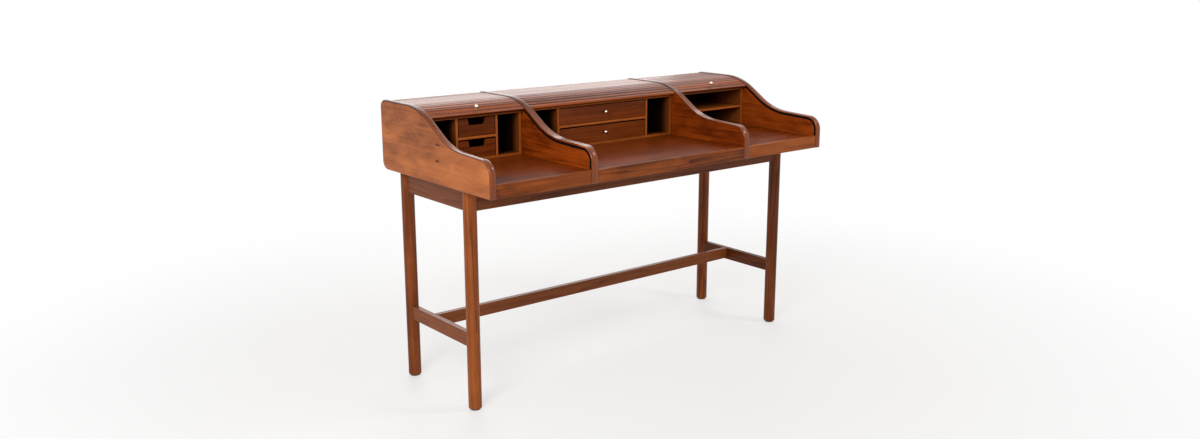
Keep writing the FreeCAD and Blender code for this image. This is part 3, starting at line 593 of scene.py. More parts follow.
def curtain_path(aside):
    """The way of the curtain's canvas, set off towards the inside of the case."""
    depth, rear = CANVAS_DEPTH + aside, GROOVE_REAR - aside
    nose_drop = depth / math.cos(NOSE_SLOPE) - math.tan(NOSE_SLOPE) * depth
    shift = depth * math.tan((SLOPE - NOSE_SLOPE) / 2)
    foot = np.array(FOOT) + turned((shift, -depth), NOSE_SLOPE)
    crest = (CREST[0] + depth * math.tan(SLOPE / 2), TOP - depth)
    return Path(
        [(FRONT + depth, GROOVE_FOOT), (FRONT + depth, NOSE[1] - nose_drop), foot, crest,
         (rear, TOP - depth), (rear, GROOVE_HEAD)],
        [NOSE_RADIUS - depth, FOOT_RADIUS + depth, CREST_RADIUS - depth, REAR_RADIUS - aside],
    )


canvas = curtain_path(0)
WIDENED = canvas.at(DOOR_TRAVEL + LEAD_WIDTH)[0]  # behind this the groove is wider, out of sight
far_side = curtain_path(-SLAT_THICK - GROOVE_PLAY).points
near_front, rim_front = (
    path.part(0.0, path.way_to(WIDENED))
    for path in (curtain_path(GROOVE_PLAY), curtain_path(GROOVE_PLAY + GROOVE_RIM))
)
roomy_wall = curtain_path(GROOVE_PLAY + GROOVE_ROOM)
hidden_rear = roomy_wall.part(roomy_wall.way_to(WIDENED), roomy_wall.way[-1])
near_side = np.vstack((near_front, rim_front[-1:], hidden_rear))
rim_side = np.vstack((rim_front, hidden_rear))
print("curtain way", round(canvas.way[-1], 4), "m, groove", len(far_side) + len(near_side), "points")

# %% The upright boards
ROUND, CROWNED = 5 * MM, 0.7 * MM
REAR_EDGE = PANEL_INNER - 9 * MM  # what lies behind this belongs to a board's back
FACE, EDGE, GROOVE, BAY = range(4)  # the finishes of an upright board
DARKER_FROM, DARKER_OVER = 860 * MM, 60 * MM


def in_plane(points, x):
    """Points of the side view at a place along the desk."""
    return np.concatenate((np.full(points.shape[:-1] + (1,), x), points), -1)


def upright(node, outline, softness, x_low, x_high, groove_side, board, plain, shade=0.0):
    """A board with the outline's shape between two planes; softness scales its rounding.

    With an angle t, the quarter round has inset c + (r - c)(1 - sin t) and rise r(1 - cos t), and
    the crown between the two has inset c*s^2, with s from -1 to 1 across it. The edge is painted
    darker towards the top, as painted shade, and shade darkens the plain face as painted shade.
    """
    piece = Piece(node)
    quarter = np.linspace(0, math.pi / 2, 7)
    flat = np.linspace(-1, 1, 7)[1:-1]
    inset, rise = CROWNED + (ROUND - CROWNED) * (1 - np.sin(quarter)), ROUND * (1 - np.cos(quarter))
    middle = (x_low + x_high) / 2 + flat * ((x_high - x_low) / 2 - ROUND)
    height = np.hstack((x_low + rise, middle, x_high - rise[::-1]))
    inset = np.hstack((inset, CROWNED * flat ** 2, inset[::-1]))
    spread = outline.points[:, None] + outline.right[:, None] * (softness[:, None] * inset)[..., None]
    band = in_plane(spread, 0.0)
    band[..., 0] = height
    from_face = ROUND * np.hstack((quarter, quarter[-1] + flat * 0, quarter[::-1]))
    grain = (outline.way[:, None] + board, from_face[None], height[None] * 0.2)
    # painted shade: the edge darker towards the top
    tone = 0.1 - 0.65 * np.clip((band[..., 2] - DARKER_FROM) / DARKER_OVER, 0, 1)
    piece.grid(band, np.stack(np.broadcast_arrays(*grain), -1), tone, EDGE)

    def flat_face(points, finish, tone=0.0):
        piece.face(points, cut_from(points, "y", board), tone, finish)

    for column, x in ((0, x_low), (-1, x_high)):
        ring = band[:-1, column]
        if (groove_side == "low") != (column == 0):
            flat_face(ring, plain, shade)
            continue
        front = np.argmin(np.abs(ring[:, 1] - ring[:, 1].min()) + np.abs(ring[:, 2] - GROOVE_FOOT))
        behind = np.abs(ring[:, 2] - GROOVE_HEAD) + (ring[:, 1] < REAR_EDGE)
        rear = len(ring) - 1 - np.argmin(behind[::-1])
        far, near, rim = (in_plane(side, x) for side in (far_side, near_side, rim_side))
        # painted shade: the rim below the groove takes the black groove finish
        flat_face(in_plane(np.vstack((near_front, rim_front[::-1])), x), GROOVE)
        flat_face(np.vstack((ring[front:rear + 1], far[::-1])), BAY)
        flat_face(np.vstack((ring[rear:], ring[:front + 1], far[:1], near[:1], rim, far[-1:])), BAY)
        sunk = x + (GROOVE_CUT if column == 0 else -GROOVE_CUT)
        far_floor, near_floor = in_plane(far_side, sunk), in_plane(near_side, sunk)
        for wall in (np.stack((far, far_floor), 1), np.stack((near, near_floor), 1)):
            piece.grid(wall, cut_from(wall, "y", board), 0.0, GROOVE)
        flat_face(np.vstack((far_floor, near_floor[::-1])), GROOVE)
        for end in (0, -1):
            flat_face(np.stack((far[end], near[end], near_floor[end], far_floor[end])), GROOVE)
    piece.close()
    return piece.made([wood[name] for name in ("case", "edge", "groove", "bay")])


FRONT_FOOT_RADIUS, BACK_FOOT_RADIUS = 3.2 * MM, 27 * MM
LOWER_SOFT = 0.35  # the lower edge of a gable is rounded less
S_CORNERS = [(FRONT, BASE), (FRONT, GROOVE_FOOT), NOSE, FOOT, CREST, (BACK, TOP)]
S_RADII = [FRONT_FOOT_RADIUS, 0, NOSE_RADIUS, FOOT_RADIUS, CREST_RADIUS]
gable_line = Path(
    S_CORNERS + [(BACK, GROOVE_HEAD), (BACK, BASE)], S_RADII + [BACK_RADIUS, 0, BACK_FOOT_RADIUS],
    closed=True,
)
gable_soft = np.where(gable_line.points[:, 1] > BASE + SQUARE, 1.0, LOWER_SOFT)
divider_line = Path(
    S_CORNERS + [
        (BACK, PANEL_TOP), (PANEL_INNER, PANEL_TOP), (PANEL_INNER, GROOVE_HEAD),
        (PANEL_INNER, LEDGER_TOP), (LEDGER_FRONT, LEDGER_TOP), (LEDGER_FRONT, BOARD_TOP),
        (LIP_BACK, BOARD_TOP), (LIP_BACK, BASE),
    ],
    S_RADII + [BACK_RADIUS - 2 * SQUARE, SQUARE, SQUARE, 0] + [SQUARE] * 5, closed=True,
)
in_sight = divider_line.points[:, 1] > PANEL_TOP + SQUARE
in_sight |= divider_line.points[:, 0] < LIP_BACK - 1 * MM
divider_soft = np.where(in_sight, 1.0, 0.0)
# the last column darkens the plain face: on the right divider it is painted shade
for name, line, soft, low, high, groove_side, cut_at, plain, shade in (
    ("left_gable", gable_line, gable_soft, frame_low[0], -GABLE_INNER, "high", 0.68, FACE, 0.0),
    ("right_gable", gable_line, gable_soft, GABLE_INNER, frame_high[0], "low", 1.63, FACE, 0.0),
    ("left_divider", divider_line, divider_soft, -BAY_EDGE, -CENTRE_EDGE, "low", 2.27, BAY, 0.0),
    ("right_divider", divider_line, divider_soft, CENTRE_EDGE, BAY_EDGE, "high", 3.41, BAY, -0.2),
):
    upright(name, line, soft, low, high, groove_side, cut_at, plain, shade)

# %% [markdown]
# ## Boards with soft edges
# Planed boards never have knife edges: a light sanding leaves a radius that catches a highlight.
# A bevel modifier could do it. Here each board is worked out whole: a grid on the box is drawn
# onto a smaller box and pushed out again by the radius, which rounds edges and corners at once.

# %% One rounded board
RUBBED_AND_HIGHLIT = np.array((-1, -0.6, 0, 0, -0.6, -1))  # dirt and shade across a face: its edges rubbed pale, partly as a painted highlight


def board(
    piece, low, high, along="x", radius=0.6 * MM, tone=0.0, finish=0, unlit=(), unlit_darkness=1.3,
):
    """A box with round edges: q = p clipped to the box less r, and the point is q + r(p-q)/|p-q|.

    unlit names its faces that are painted dark up to their edges, as painted shade, each as (axis,
    end).
    """
    low, high = np.array(low, float), np.array(high, float)
    radius = min(radius, (high - low).min() * 0.49)
    tuck = radius * (1 - math.tan(math.pi / 8))
    lines = [np.array((a, a + tuck, a + radius, b - radius, b - tuck, b)) for a, b in zip(low, high)]
    # the edges are paler: rubbed pale, and partly a painted highlight
    worn = np.minimum.outer(RUBBED_AND_HIGHLIT, RUBBED_AND_HIGHLIT)
    origin = chance.random() * 10
    for axis in range(3):
        one, two = [other for other in range(3) if other != axis]
        first, second = np.meshgrid(lines[one], lines[two], indexing="ij")
        for end, flat in enumerate((low[axis], high[axis])):
            soil = np.where((worn == 0) & ((axis, end) in unlit), unlit_darkness, worn)
            outer = np.zeros(first.shape + (3,))
            outer[..., axis], outer[..., one], outer[..., two] = flat, first, second
            inner = np.clip(outer, low + radius, high - radius)
            push = outer - inner
            push /= np.linalg.norm(push, axis=-1, keepdims=True)
            points = inner + push * radius
            piece.grid(points, cut_from(points, along, origin), tone, finish, soil)
    piece.close()


# %% [markdown]
# ## Worktops, bottom and back
# Each bay has its own writing surface: a veneered board with a deeper solid lip glued to its front
# edge. The lip is a board of its own, so the joint between them shows as a fine line.

# %% Boards of the case
TOP_THICK, TOP_BACK, BOTTOM_BACK = 18 * MM, BACK - 24 * MM, BACK - 27 * MM
LEDGER_SUNK, PANEL_FOOT = 4 * MM, BASE + 18 * MM
LIP_TONES = {"left": -0.15, "centre": -0.15, "right": 0.65}
for bay, x_low, x_high in BAYS:
    worktop = Piece(f"{bay}_worktop")
    board(worktop, (x_low, LIP_BACK, WORKTOP - TOP_THICK), (x_high, TOP_BACK, WORKTOP), radius=0.3 * MM)
    board(
        worktop, (x_low, LIP_FRONT, BASE), (x_high, LIP_BACK, WORKTOP), radius=2 * MM,
        tone=LIP_TONES[bay], finish=1,
    )
    worktop.made((wood["worktop"], wood["lip"]))

bottom = Piece("case_bottom")
board(bottom, (-GABLE_INNER, LIP_BACK, BASE), (GABLE_INNER, BOTTOM_BACK, BOARD_TOP))
ledger_foot = BOARD_TOP - LEDGER_SUNK
board(bottom, (-GABLE_INNER, LEDGER_FRONT, ledger_foot), (GABLE_INNER, PANEL_INNER, LEDGER_TOP))
bottom.made((wood["back"],))

back = Piece("back_panel")
board(back, (-GABLE_INNER, PANEL_INNER, PANEL_FOOT), (GABLE_INNER, PANEL_OUTER, PANEL_TOP))
back.made((wood["back"],))

# %% [markdown]
# ## Reeded surfaces
# The roof and the curtain are rows of slats with a narrow valley between each two. One slat's
# section is a shallow crown that drops into a V at both sides. With u from 0 to 1 across the slat,
# its depth is c(2u - 1)^2 + d * max(0, 1 - distance to the nearer side / w), and the row repeats it.

# %% The section of a slat
SLAT_PITCH = 17 * MM
REED_WIDTH, REED_DEPTH, CROWN = 0.9 * MM, 1.2 * MM, 1.0 * MM
DIRT_AND_SHADE = 1.2  # dirt and painted shade at the bottom of a valley, and painted shade below the roof's front
TONE_SPREAD = 0.2  # how much darker or lighter one slat is than the next
SLAT_SHIFT = (13, 5)  # metres of wood between slats that differ by 1 in tone, along and across
SHARE = REED_WIDTH / SLAT_PITCH
ACROSS = np.array((0, 0.45 * SHARE, SHARE, 1.8 * SHARE, 3 * SHARE, 0.25, 0.36))
ACROSS = np.concatenate((ACROSS, (0.5,), 1 - ACROSS[::-1]))


def slat_drop(share):
    """How far a slat's face lies below its highest line, at shares of its width."""
    valley = np.maximum(0, 1 - np.minimum(share, 1 - share) / SHARE)
    return CROWN * (2 * share - 1) ** 2 + REED_DEPTH * valley


def slat_dirt_and_shade(share):
    """Dirt and painted shade in the valleys, which fade out up the flanks of a slat."""
    return np.clip(1.4 - np.minimum(share, 1 - share) / (2.3 * SHARE), 0, DIRT_AND_SHADE)


def swept(piece, loop, x_low, x_high, tones=0.0, soil=0.0, finish=0, seed=0.0):
    """A closed loop of the side view carried along the desk, with a flat face at each end."""
    ring = np.vstack((loop, loop[:1]))
    ends = np.stack((in_plane(ring, x_low), in_plane(ring, x_high)), 1)
    tones, soil = (np.broadcast_to(values, len(loop)) for values in (tones, soil))
    tones, soil = (np.append(values, values[:1])[:, None] for values in (tones, soil))
    along = ends[..., 0] + seed + tones * SLAT_SHIFT[0]
    grain = np.broadcast_arrays(along, ways_along(ring)[:, None] + tones * SLAT_SHIFT[1], 0.0)
    piece.grid(ends, np.stack(grain, -1), tones, finish, soil)
    for x in (x_low, x_high):
        cap = in_plane(loop, x)
        piece.face(cap, cut_from(cap, "x", seed), 0.0, finish)
    piece.close()


# %% The fixed roof
ROOF_DEPTH, SIDE_THICK, CENTRE_THICK = 3 * MM, 3 * MM, 8 * MM
LEAD_BEAD = 15.5 * MM
FRONT_PAINTED_LIGHT = 1.2  # the front face of the roof is painted paler as painted light, with painted shade below its middle
FRONT_SHARES = np.array(((0.4,), (0.6,)))  # up this face, where the dark part ends
SIDE_START, CENTRE_START = 492.735 * MM, 460.192 * MM
BEND = edge.way[-1] - math.pi / 2 * BACK_RADIUS
BEND_STEPS, UNDER_STEPS = 14, 60
valleys = np.arange(SIDE_START, BEND, SLAT_PITCH)


def roof_loop(starts, thick):
    """Slats laid between the given ways, then the back corner, and the underside back again."""
    low, width = starts[:-1, None], np.diff(starts)[:, None]
    ways, drops, slats = (low + ACROSS * width).ravel(), slat_drop(ACROSS), len(starts) - 1
    bend = np.linspace(starts[-1], edge.way[-1], BEND_STEPS)
    under = np.linspace(starts[0], edge.way[-1], UNDER_STEPS)
    top = edge.at(np.append(ways, bend), ROOF_DEPTH + np.append(np.tile(drops, slats), bend * 0))
    below = edge.at(under, np.full(UNDER_STEPS, ROOF_DEPTH + thick))
    front = below[0] * (1 - FRONT_SHARES) + top[0] * FRONT_SHARES
    plain = np.zeros(BEND_STEPS + UNDER_STEPS + len(front))
    tones = np.append(np.repeat(chance.normal(0, TONE_SPREAD, slats), len(ACROSS)), plain)
    soil = np.append(np.tile(slat_dirt_and_shade(ACROSS), slats), plain)
    # painted light on the roof's front face, and painted shade below its middle
    tones[:3] = tones[-3:] = FRONT_PAINTED_LIGHT
    soil[:3], soil[-3:] = 0, (DIRT_AND_SHADE, DIRT_AND_SHADE, 0)
    return np.vstack((top, below[::-1], front)), tones, soil


for bay, x_low, x_high in BAYS:
    roof = Piece(f"{bay}_roof")
    starts, thick = valleys, SIDE_THICK
    if bay == "centre":
        starts = np.concatenate(((CENTRE_START, CENTRE_START + LEAD_BEAD), valleys))
        thick = CENTRE_THICK
    loop, tones, soil = roof_loop(starts, thick)
    swept(roof, loop, x_low, x_high, tones, soil, seed=len(bay))
    roof.made((wood["reeded"],))

# %% [markdown]
# ## The tambour doors
# A tambour is a row of slats glued to canvas behind a thicker lead rail. The curtain is cut into
# short strips that are each stiff, because every strip rides on a body of its own. A strip lies like
# a chord: both ends of its canvas touch the curve of the groove.

# %% Lay the strips end to end
SLATS_PER_STRIP = (1, 1, 1, 6, 2, 2, 2, 2, 3, 2, 2)
STRIP_GAP = 0.5 * MM
LEAD_THICK = CANVAS_DEPTH - ROOF_DEPTH
FINE_STEP = 0.05 * MM
fine_ways = np.arange(0, canvas.way[-1], FINE_STEP)
fine_points = canvas.at(fine_ways)


def laid(way, lengths):
    """Start and angle of each strip: it ends where the curve is first its length away."""
    places = []
    for length in lengths:
        start = canvas.at(way)
        ahead = fine_ways >= way
        distance = np.linalg.norm(fine_points[ahead] - start, axis=1)
        end_way = float(np.interp(length, distance, fine_ways[ahead]))
        reach = canvas.at(end_way) - start
        places.append((start, math.atan2(reach[1], reach[0])))
        way = end_way + STRIP_GAP
    return places


strip_lengths = [LEAD_WIDTH] + [count * SLAT_PITCH - STRIP_GAP for count in SLATS_PER_STRIP]
places = laid(DOOR_TRAVEL, strip_lengths)
print(len(places), "places, the lead rail at", places[0][0] / MM, "mm")

# %% The lead rails and the strips
CANVAS_THICK, END_PLAY = 0.9 * MM, 1 * MM
IN_GROOVE = GROOVE_CUT - END_PLAY
LEAD_SOFT, LEAD_CHAMFER = 2 * MM, 0.5 * MM


def set_down(section, start, angle):
    """A section drawn flat, turned and moved to its place in the side view."""
    return start + turned(section, angle)


def strip_face(count):
    """The face of slats side by side, from the far end to the near one, and its tone and soil."""
    share = np.tile(ACROSS, count)
    reach = (np.repeat(np.arange(count), len(ACROSS)) + share) * SLAT_PITCH
    reach = np.minimum(reach, count * SLAT_PITCH - STRIP_GAP)
    face = np.stack((reach, SLAT_THICK - slat_drop(share)), 1)
    tones = np.repeat(chance.normal(0, TONE_SPREAD, count), len(ACROSS))
    return face[::-1], tones[::-1], slat_dirt_and_shade(share)[::-1]


def lead_section():
    """The lead rail with dirt and painted shade: two reeds and a valley, round shoulders and a flat
    underside.
    """
    angle = np.linspace(0, math.pi / 2, 6)
    shoulder = LEAD_SOFT * np.stack((np.sin(angle), np.cos(angle)), 1)
    head = (LEAD_WIDTH - LEAD_SOFT, LEAD_THICK - LEAD_SOFT) + shoulder[::-1]
    toe = (LEAD_SOFT, LEAD_THICK - LEAD_SOFT) + shoulder * (-1, 1)
    bead = np.array((2.4, 1.4, 0.8, 0, -0.8, -1.4, -2.4)) * REED_WIDTH
    sunk = np.array((0.1, 0.28, 0.55, 1.5, 0.55, 0.28, 0.1)) * MM
    valley = np.stack((LEAD_BEAD + bead, LEAD_THICK - sunk), 1)
    far = LEAD_WIDTH - LEAD_CHAMFER
    under = np.array(((0, LEAD_CHAMFER), (LEAD_CHAMFER, 0), (far, 0), (LEAD_WIDTH, LEAD_CHAMFER)))
    # dirt and painted shade in the valley; painted shade down the front shoulder and the front face
    on_valley, front_shade = (0.1, 0.5, 0.9, DIRT_AND_SHADE, 0.9, 0.5, 0.1), (0, 0, 0, 0.2, 0.5, 0.9)
    soil = np.concatenate((head[:, 0] * 0, on_valley, front_shade, (0.9, 0, 0, 0)))
    return np.vstack((head, valley, toe, under)), soil


for side, x_low, x_high in (BAYS[0], BAYS[2]):
    lead = Piece(f"{side}_lead_rail")
    section, soil = lead_section()
    ends = x_low + END_PLAY, x_high - END_PLAY
    swept(lead, set_down(section, *places[0]), *ends, soil=soil, seed=len(side) * 0.7)
    lead.made((wood["reeded"],))
    for number, count in enumerate(SLATS_PER_STRIP, 1):
        face, tones, soil = strip_face(count)
        end = strip_lengths[number]
        slats = np.vstack((face, ((0, CANVAS_THICK), (end, CANVAS_THICK))))
        cloth = np.array(((0, 0), (end, 0), (end, CANVAS_THICK), (0, CANVAS_THICK)))
        strip = Piece(f"{side}_slats_{number:02d}")
        low, high = x_low - IN_GROOVE, x_high + IN_GROOVE
        tones, soil = np.append(tones, (0, 0)), np.append(soil, (0, 0))
        swept(strip, set_down(slats, *places[number]), low, high, tones, soil, seed=number)
        swept(strip, set_down(cloth, *places[number]), low, high, finish=1)
        strip.made((wood["reeded"], canvas_cloth))

# %% [markdown]
# ## Pigeonhole units
# Each bay has a low cabinet at its back, glued up from thin boards. What the eye reads is the pale
# front edges of the boards against dark holes, so every board is modelled by itself, with its own
# grain and its own soft edges, and the wood is painted dark from a little way behind the edges, as
# painted shade in the holes.

# %% The three units
UNIT_BACK, UNIT_TOP = 286 * MM, 886 * MM
BOARD, SIDE, POST, BACKING, UNIT_PLAY = 8 * MM, 9 * MM, 8 * MM, 4 * MM, 2.5 * MM
FLOOR_LEVEL, SHELF_FOOT, SHELF_TOP = WORKTOP + BOARD, 810 * MM, 818 * MM
INSIDE_BACK = UNIT_BACK - BACKING
SIDE_MIDDLE = (GABLE_INNER + BAY_EDGE) / 2
SMALL, WIDE = 140 * MM, 382 * MM
# the boards are painted paler than their walnut, the top one most: painted light on their front edges,
# which the roof shades
UNIT_TONES = {"floor": 0.1, "top": 1.0, "side": 0.4, "post": 0.5, "shelf": 0.6}


def unit(name, x_low, x_high, finish, middle=0.0, opening=0.0):
    """A cabinet of boards; with an opening it has two posts and a short shelf for drawers."""
    piece = Piece(name)
    x_low, x_high = x_low + UNIT_PLAY, x_high - UNIT_PLAY
    head = UNIT_TOP - BOARD

    def part(kind, left, right, foot, top, along="x", unlit=()):
        low, high = (left, UNIT_FRONT, foot), (right, INSIDE_BACK, top)
        board(piece, low, high, along, tone=UNIT_TONES[kind], unlit=unlit)

    part("floor", x_low, x_high, WORKTOP, FLOOR_LEVEL)
    part("top", x_low, x_high, head, UNIT_TOP)
    for low in (x_low, x_high - SIDE):
        part("side", low, low + SIDE, FLOOR_LEVEL, head, "z")
    # the back board takes the near black inside walnut: painted shade deep in the holes
    board(piece, (x_low, INSIDE_BACK, WORKTOP), (x_high, UNIT_BACK, UNIT_TOP), finish=1)
    left, right, unlit = x_low + SIDE, x_high - SIDE, ()
    # with drawers, the posts' faces beside them and the shelf above and below them are painted dark:
    # painted shade of the gaps
    if opening:
        left, right, unlit = middle - opening / 2, middle + opening / 2, ((2, 0), (2, 1))
        for low, inner in ((left - POST, 1), (right, 0)):
            part("post", low, low + POST, FLOOR_LEVEL, head, "z", ((0, inner),))
    part("shelf", left, right, SHELF_FOOT, SHELF_TOP, unlit=unlit)
    return piece.made((finish, wood["inside"]))


unit("left_unit", -GABLE_INNER, -BAY_EDGE, wood["pigeonhole"], -SIDE_MIDDLE, SMALL)
unit("centre_unit", -CENTRE_EDGE, CENTRE_EDGE, wood["pigeonhole"], 0.0, WIDE)
unit("right_unit", BAY_EDGE, GABLE_INNER, wood["shelf"])

# %% [markdown]
# ## Drawers
# A drawer is a front, two sides, a back and a thin bottom. The small fronts have a finger notch
# sawn out of their top edge. Such a front is a flat plate, so its outline is one closed path
# and the same rounded section is carried round it.

# %% Plates with an outline
DRAWER_FRONT, DRAWER_WALL, DRAWER_BOTTOM = 10 * MM, 7 * MM, 4 * MM
DRAWER_DEPTH, DRAWER_HEIGHT, DRAWER_PLAY, DRAWER_LIFT = 216 * MM, 56 * MM, 2.5 * MM, 1 * MM
FRONT_SOFT = 0.7 * MM
TOP_SHADE = 0.9  # the top edge of a drawer front is painted darker than its face: painted shade of the gap above


def plate(piece, outline, y_low, y_high, radius, tone=0.0):
    """A plate in the front view: the outline set off by r(1 - sin t) at depth r(1 - cos t)."""
    quarter = np.linspace(0, math.pi / 2, 4)
    inset, rise = radius * (1 - np.sin(quarter)), radius * (1 - np.cos(quarter))
    inset, depth = np.hstack((inset, inset[::-1])), np.hstack((y_low + rise, y_high - rise[::-1]))
    flat = outline.points[:, None] + outline.right[:, None] * inset[None, :, None]
    band = np.stack(np.broadcast_arrays(flat[..., 0], depth[None], flat[..., 1]), -1)
    origin = chance.random() * 10
    highest = outline.points[:, 1] > outline.points[:, 1].max() - FLAT
    # painted shade: the top edge of the front darker
    soil = highest[:, None] * np.repeat((0, TOP_SHADE), (3, 5))
    piece.grid(band, cut_from(band, "x", origin), tone, soil=soil)
    for column in (0, -1):
        ring = band[:-1, column]
        piece.face(ring, cut_from(ring, "x", origin), tone)
    piece.close()


def notched(low, high, foot, head):
    """The outline of a small drawer front, up its left end and on to the right."""
    middle, half, sunk, slant = (low + high) / 2, 33 * MM, 22 * MM, 4 * MM
    corner, shoulder, cup = 0.8 * MM, 1.2 * MM, 7 * MM
    left, right = middle - half, middle + half
    return Path(
        [(low, foot), (low, head), (left, head), (left + slant, head - sunk),
         (right - slant, head - sunk), (right, head), (high, head), (high, foot)],
        [corner, corner, shoulder, cup, cup, shoulder, corner, corner], closed=True,
    )


# %% Four drawers
DRAWER_TONES = {"upper_small": -0.25, "lower_small": -0.05, "upper_wide": 0.2, "lower_wide": 0.1}
for level, shelf in (("upper", SHELF_TOP), ("lower", FLOOR_LEVEL)):
    for kind, middle, opening in (("small", -SIDE_MIDDLE, SMALL), ("wide", 0.0, WIDE)):
        drawer = Piece(f"{level}_{kind}_drawer")
        tone = DRAWER_TONES[f"{level}_{kind}"]
        low, high = middle - opening / 2 + DRAWER_PLAY, middle + opening / 2 - DRAWER_PLAY
        foot, head = shelf + DRAWER_LIFT, shelf + DRAWER_LIFT + DRAWER_HEIGHT
        behind, rear = UNIT_FRONT + DRAWER_FRONT, UNIT_FRONT + DRAWER_DEPTH
        # the top edge of each front is painted dark: painted shade of the gap above it
        if kind == "small":
            plate(drawer, notched(low, high, foot, head), UNIT_FRONT, behind, FRONT_SOFT, tone)
        else:
            board(
                drawer, (low, UNIT_FRONT, foot), (high, behind, head), "x", FRONT_SOFT, tone,
                unlit=((2, 1),), unlit_darkness=TOP_SHADE,
            )
        left, right, end = low + DRAWER_WALL, high - DRAWER_WALL, rear - DRAWER_WALL
        # the inner faces of the box are painted dark: painted shade inside the drawer
        for start, stop, along, inner in (
            ((low, behind, foot), (left, rear, head), "y", (0, 1)),
            ((right, behind, foot), (high, rear, head), "y", (0, 0)),
            ((left, end, foot), (right, rear, head), "x", (1, 0)),
            ((left, behind, foot), (right, end, foot + DRAWER_BOTTOM), "x", (2, 1)),
        ):
            board(drawer, start, stop, along, finish=1, unlit=(inner,))
        drawer.made((wood["drawer"], wood["drawer_box"]))

# %% [markdown]
# ## Turned pieces
# Legs, knobs, glides and screw heads are round. Each is a profile (radius, height) spun about its
# axis: the point at height h and angle a is centre + r(h) * (cos a, sin a). Its ends meet on the
# axis, so it is closed.

# %% Spin a profile
def spun(piece, profile, centre, axis=(0, 0, 1), sides=48, tone=0.0, change=0):
    """A profile of (radius, height) pairs spun about an axis through the centre.

    With a change, the rows of the profile before that one take the second finish.
    """
    profile = np.asarray(profile, float)
    axis = Vector(axis).normalized()
    across = axis.orthogonal().normalized()
    other = axis.cross(across)
    angle = np.linspace(0, 2 * math.pi, sides + 1)[None, :, None]
    radius, height = profile[:, 0, None, None], profile[:, 1, None, None]
    ring = np.cos(angle) * np.array(across) + np.sin(angle) * np.array(other)
    points = np.array(centre) + radius * ring + height * np.array(axis)
    start = height + centre[0] * 3 + centre[1] * 7  # so each is turned from other wood
    grain = np.broadcast_arrays(start, radius * np.cos(angle), radius * np.sin(angle))
    grain = np.concatenate(grain, -1)
    if change:
        piece.grid(points[:change + 1], grain[:change + 1], tone, finish=1)
    piece.grid(points[change:], grain[change:], tone)
    piece.close()


def rim(radius, soft, height):
    """Profile points of a soft lower rim, from its flat underside out to its side."""
    angle = np.linspace(0, math.pi / 2, 5)
    return np.stack((radius - soft + soft * np.sin(angle), height + soft * (1 - np.cos(angle))), 1)


# %% The stand: legs, glides, rails and stretchers
LEG_X, LEG_FRONT_Y, LEG_BACK_Y = 670 * MM, -139 * MM, 233 * MM
LEG_RADIUS, LEG_SOFT, LEG_RINGS = 21 * MM, 4 * MM, (200 * MM, 450 * MM)
GLIDE_RADIUS, GLIDE_SOFT, GLIDE = 16 * MM, 1 * MM, 4 * MM
LEGS = {
    "front_left": (-LEG_X, LEG_FRONT_Y, 0.05), "front_right": (LEG_X, LEG_FRONT_Y, -0.55),
    "back_left": (-LEG_X, LEG_BACK_Y, -0.35), "back_right": (LEG_X, LEG_BACK_Y, -0.25),
}
shank = [(LEG_RADIUS, height) for height in (*LEG_RINGS, BASE)]
leg_profile = np.vstack(((0, GLIDE), rim(LEG_RADIUS, LEG_SOFT, GLIDE), shank, (0, BASE)))
glide_rim = rim(GLIDE_RADIUS, GLIDE_SOFT, 0)
disc_profile = np.vstack(((0, 0), glide_rim, (GLIDE_RADIUS, GLIDE), (0, GLIDE)))
glides = Piece("leg_glides", "leg_glide_discs")
for name, (x, y, tone) in LEGS.items():
    leg = Piece(f"{name}_leg")
    spun(leg, leg_profile, (x, y, 0), sides=64, tone=tone)
    leg.made((wood["stand"],))
    spun(glides, disc_profile, (x, y, 0))
glides.made((glide_plastic,))

TUCK = 10 * MM  # a rail ends inside the leg, this far from its axis
RAIL_FOOT, HALF, BAR_SOFT = BASE - 68 * MM, 10 * MM, 1.5 * MM
SIDE_BAR, LONG_BAR, LONG_BAR_Y = (201 * MM, 246 * MM), (207 * MM, 247 * MM), 94 * MM
BETWEEN_BARS = ("x", HALF - LEG_X, LEG_X - HALF)
ALONG = ("x", TUCK - LEG_X, LEG_X - TUCK)
FRONT_TO_BACK = ("y", LEG_FRONT_Y + TUCK, LEG_BACK_Y - TUCK)
BARS = {  # each has its run, its place across it, its foot and head, and its tone
    "front_rail": (ALONG, LEG_FRONT_Y, (RAIL_FOOT, BASE), 0.0),
    "back_rail": (ALONG, LEG_BACK_Y, (RAIL_FOOT, BASE), 0.0),
    "left_rail": (FRONT_TO_BACK, -LEG_X, (RAIL_FOOT, BASE), 0.0),
    "right_rail": (FRONT_TO_BACK, LEG_X, (RAIL_FOOT, BASE), -0.2),
    "left_stretcher": (FRONT_TO_BACK, -LEG_X, SIDE_BAR, 0.3),
    "right_stretcher": (FRONT_TO_BACK, LEG_X, SIDE_BAR, -0.3),
    "long_stretcher": (BETWEEN_BARS, LONG_BAR_Y, LONG_BAR, 0.25),
}
for name, ((along, start, end), place, (foot, head), tone) in BARS.items():
    bar = Piece(name)
    if along == "x":
        low, high = (start, place - HALF, foot), (end, place + HALF, head)
    else:
        low, high = (place - HALF, start, foot), (place + HALF, end, head)
    board(bar, low, high, along, BAR_SOFT, tone)
    bar.made((wood["rail"],))

# %% [markdown]
# ## Knobs and screws
# A knob is a ball on a thin stem with a small collar at its foot. The profile runs up the collar,
# in to the stem, and round the ball as an arc. The screws at the back have a domed head with a
# cross sunk into it.

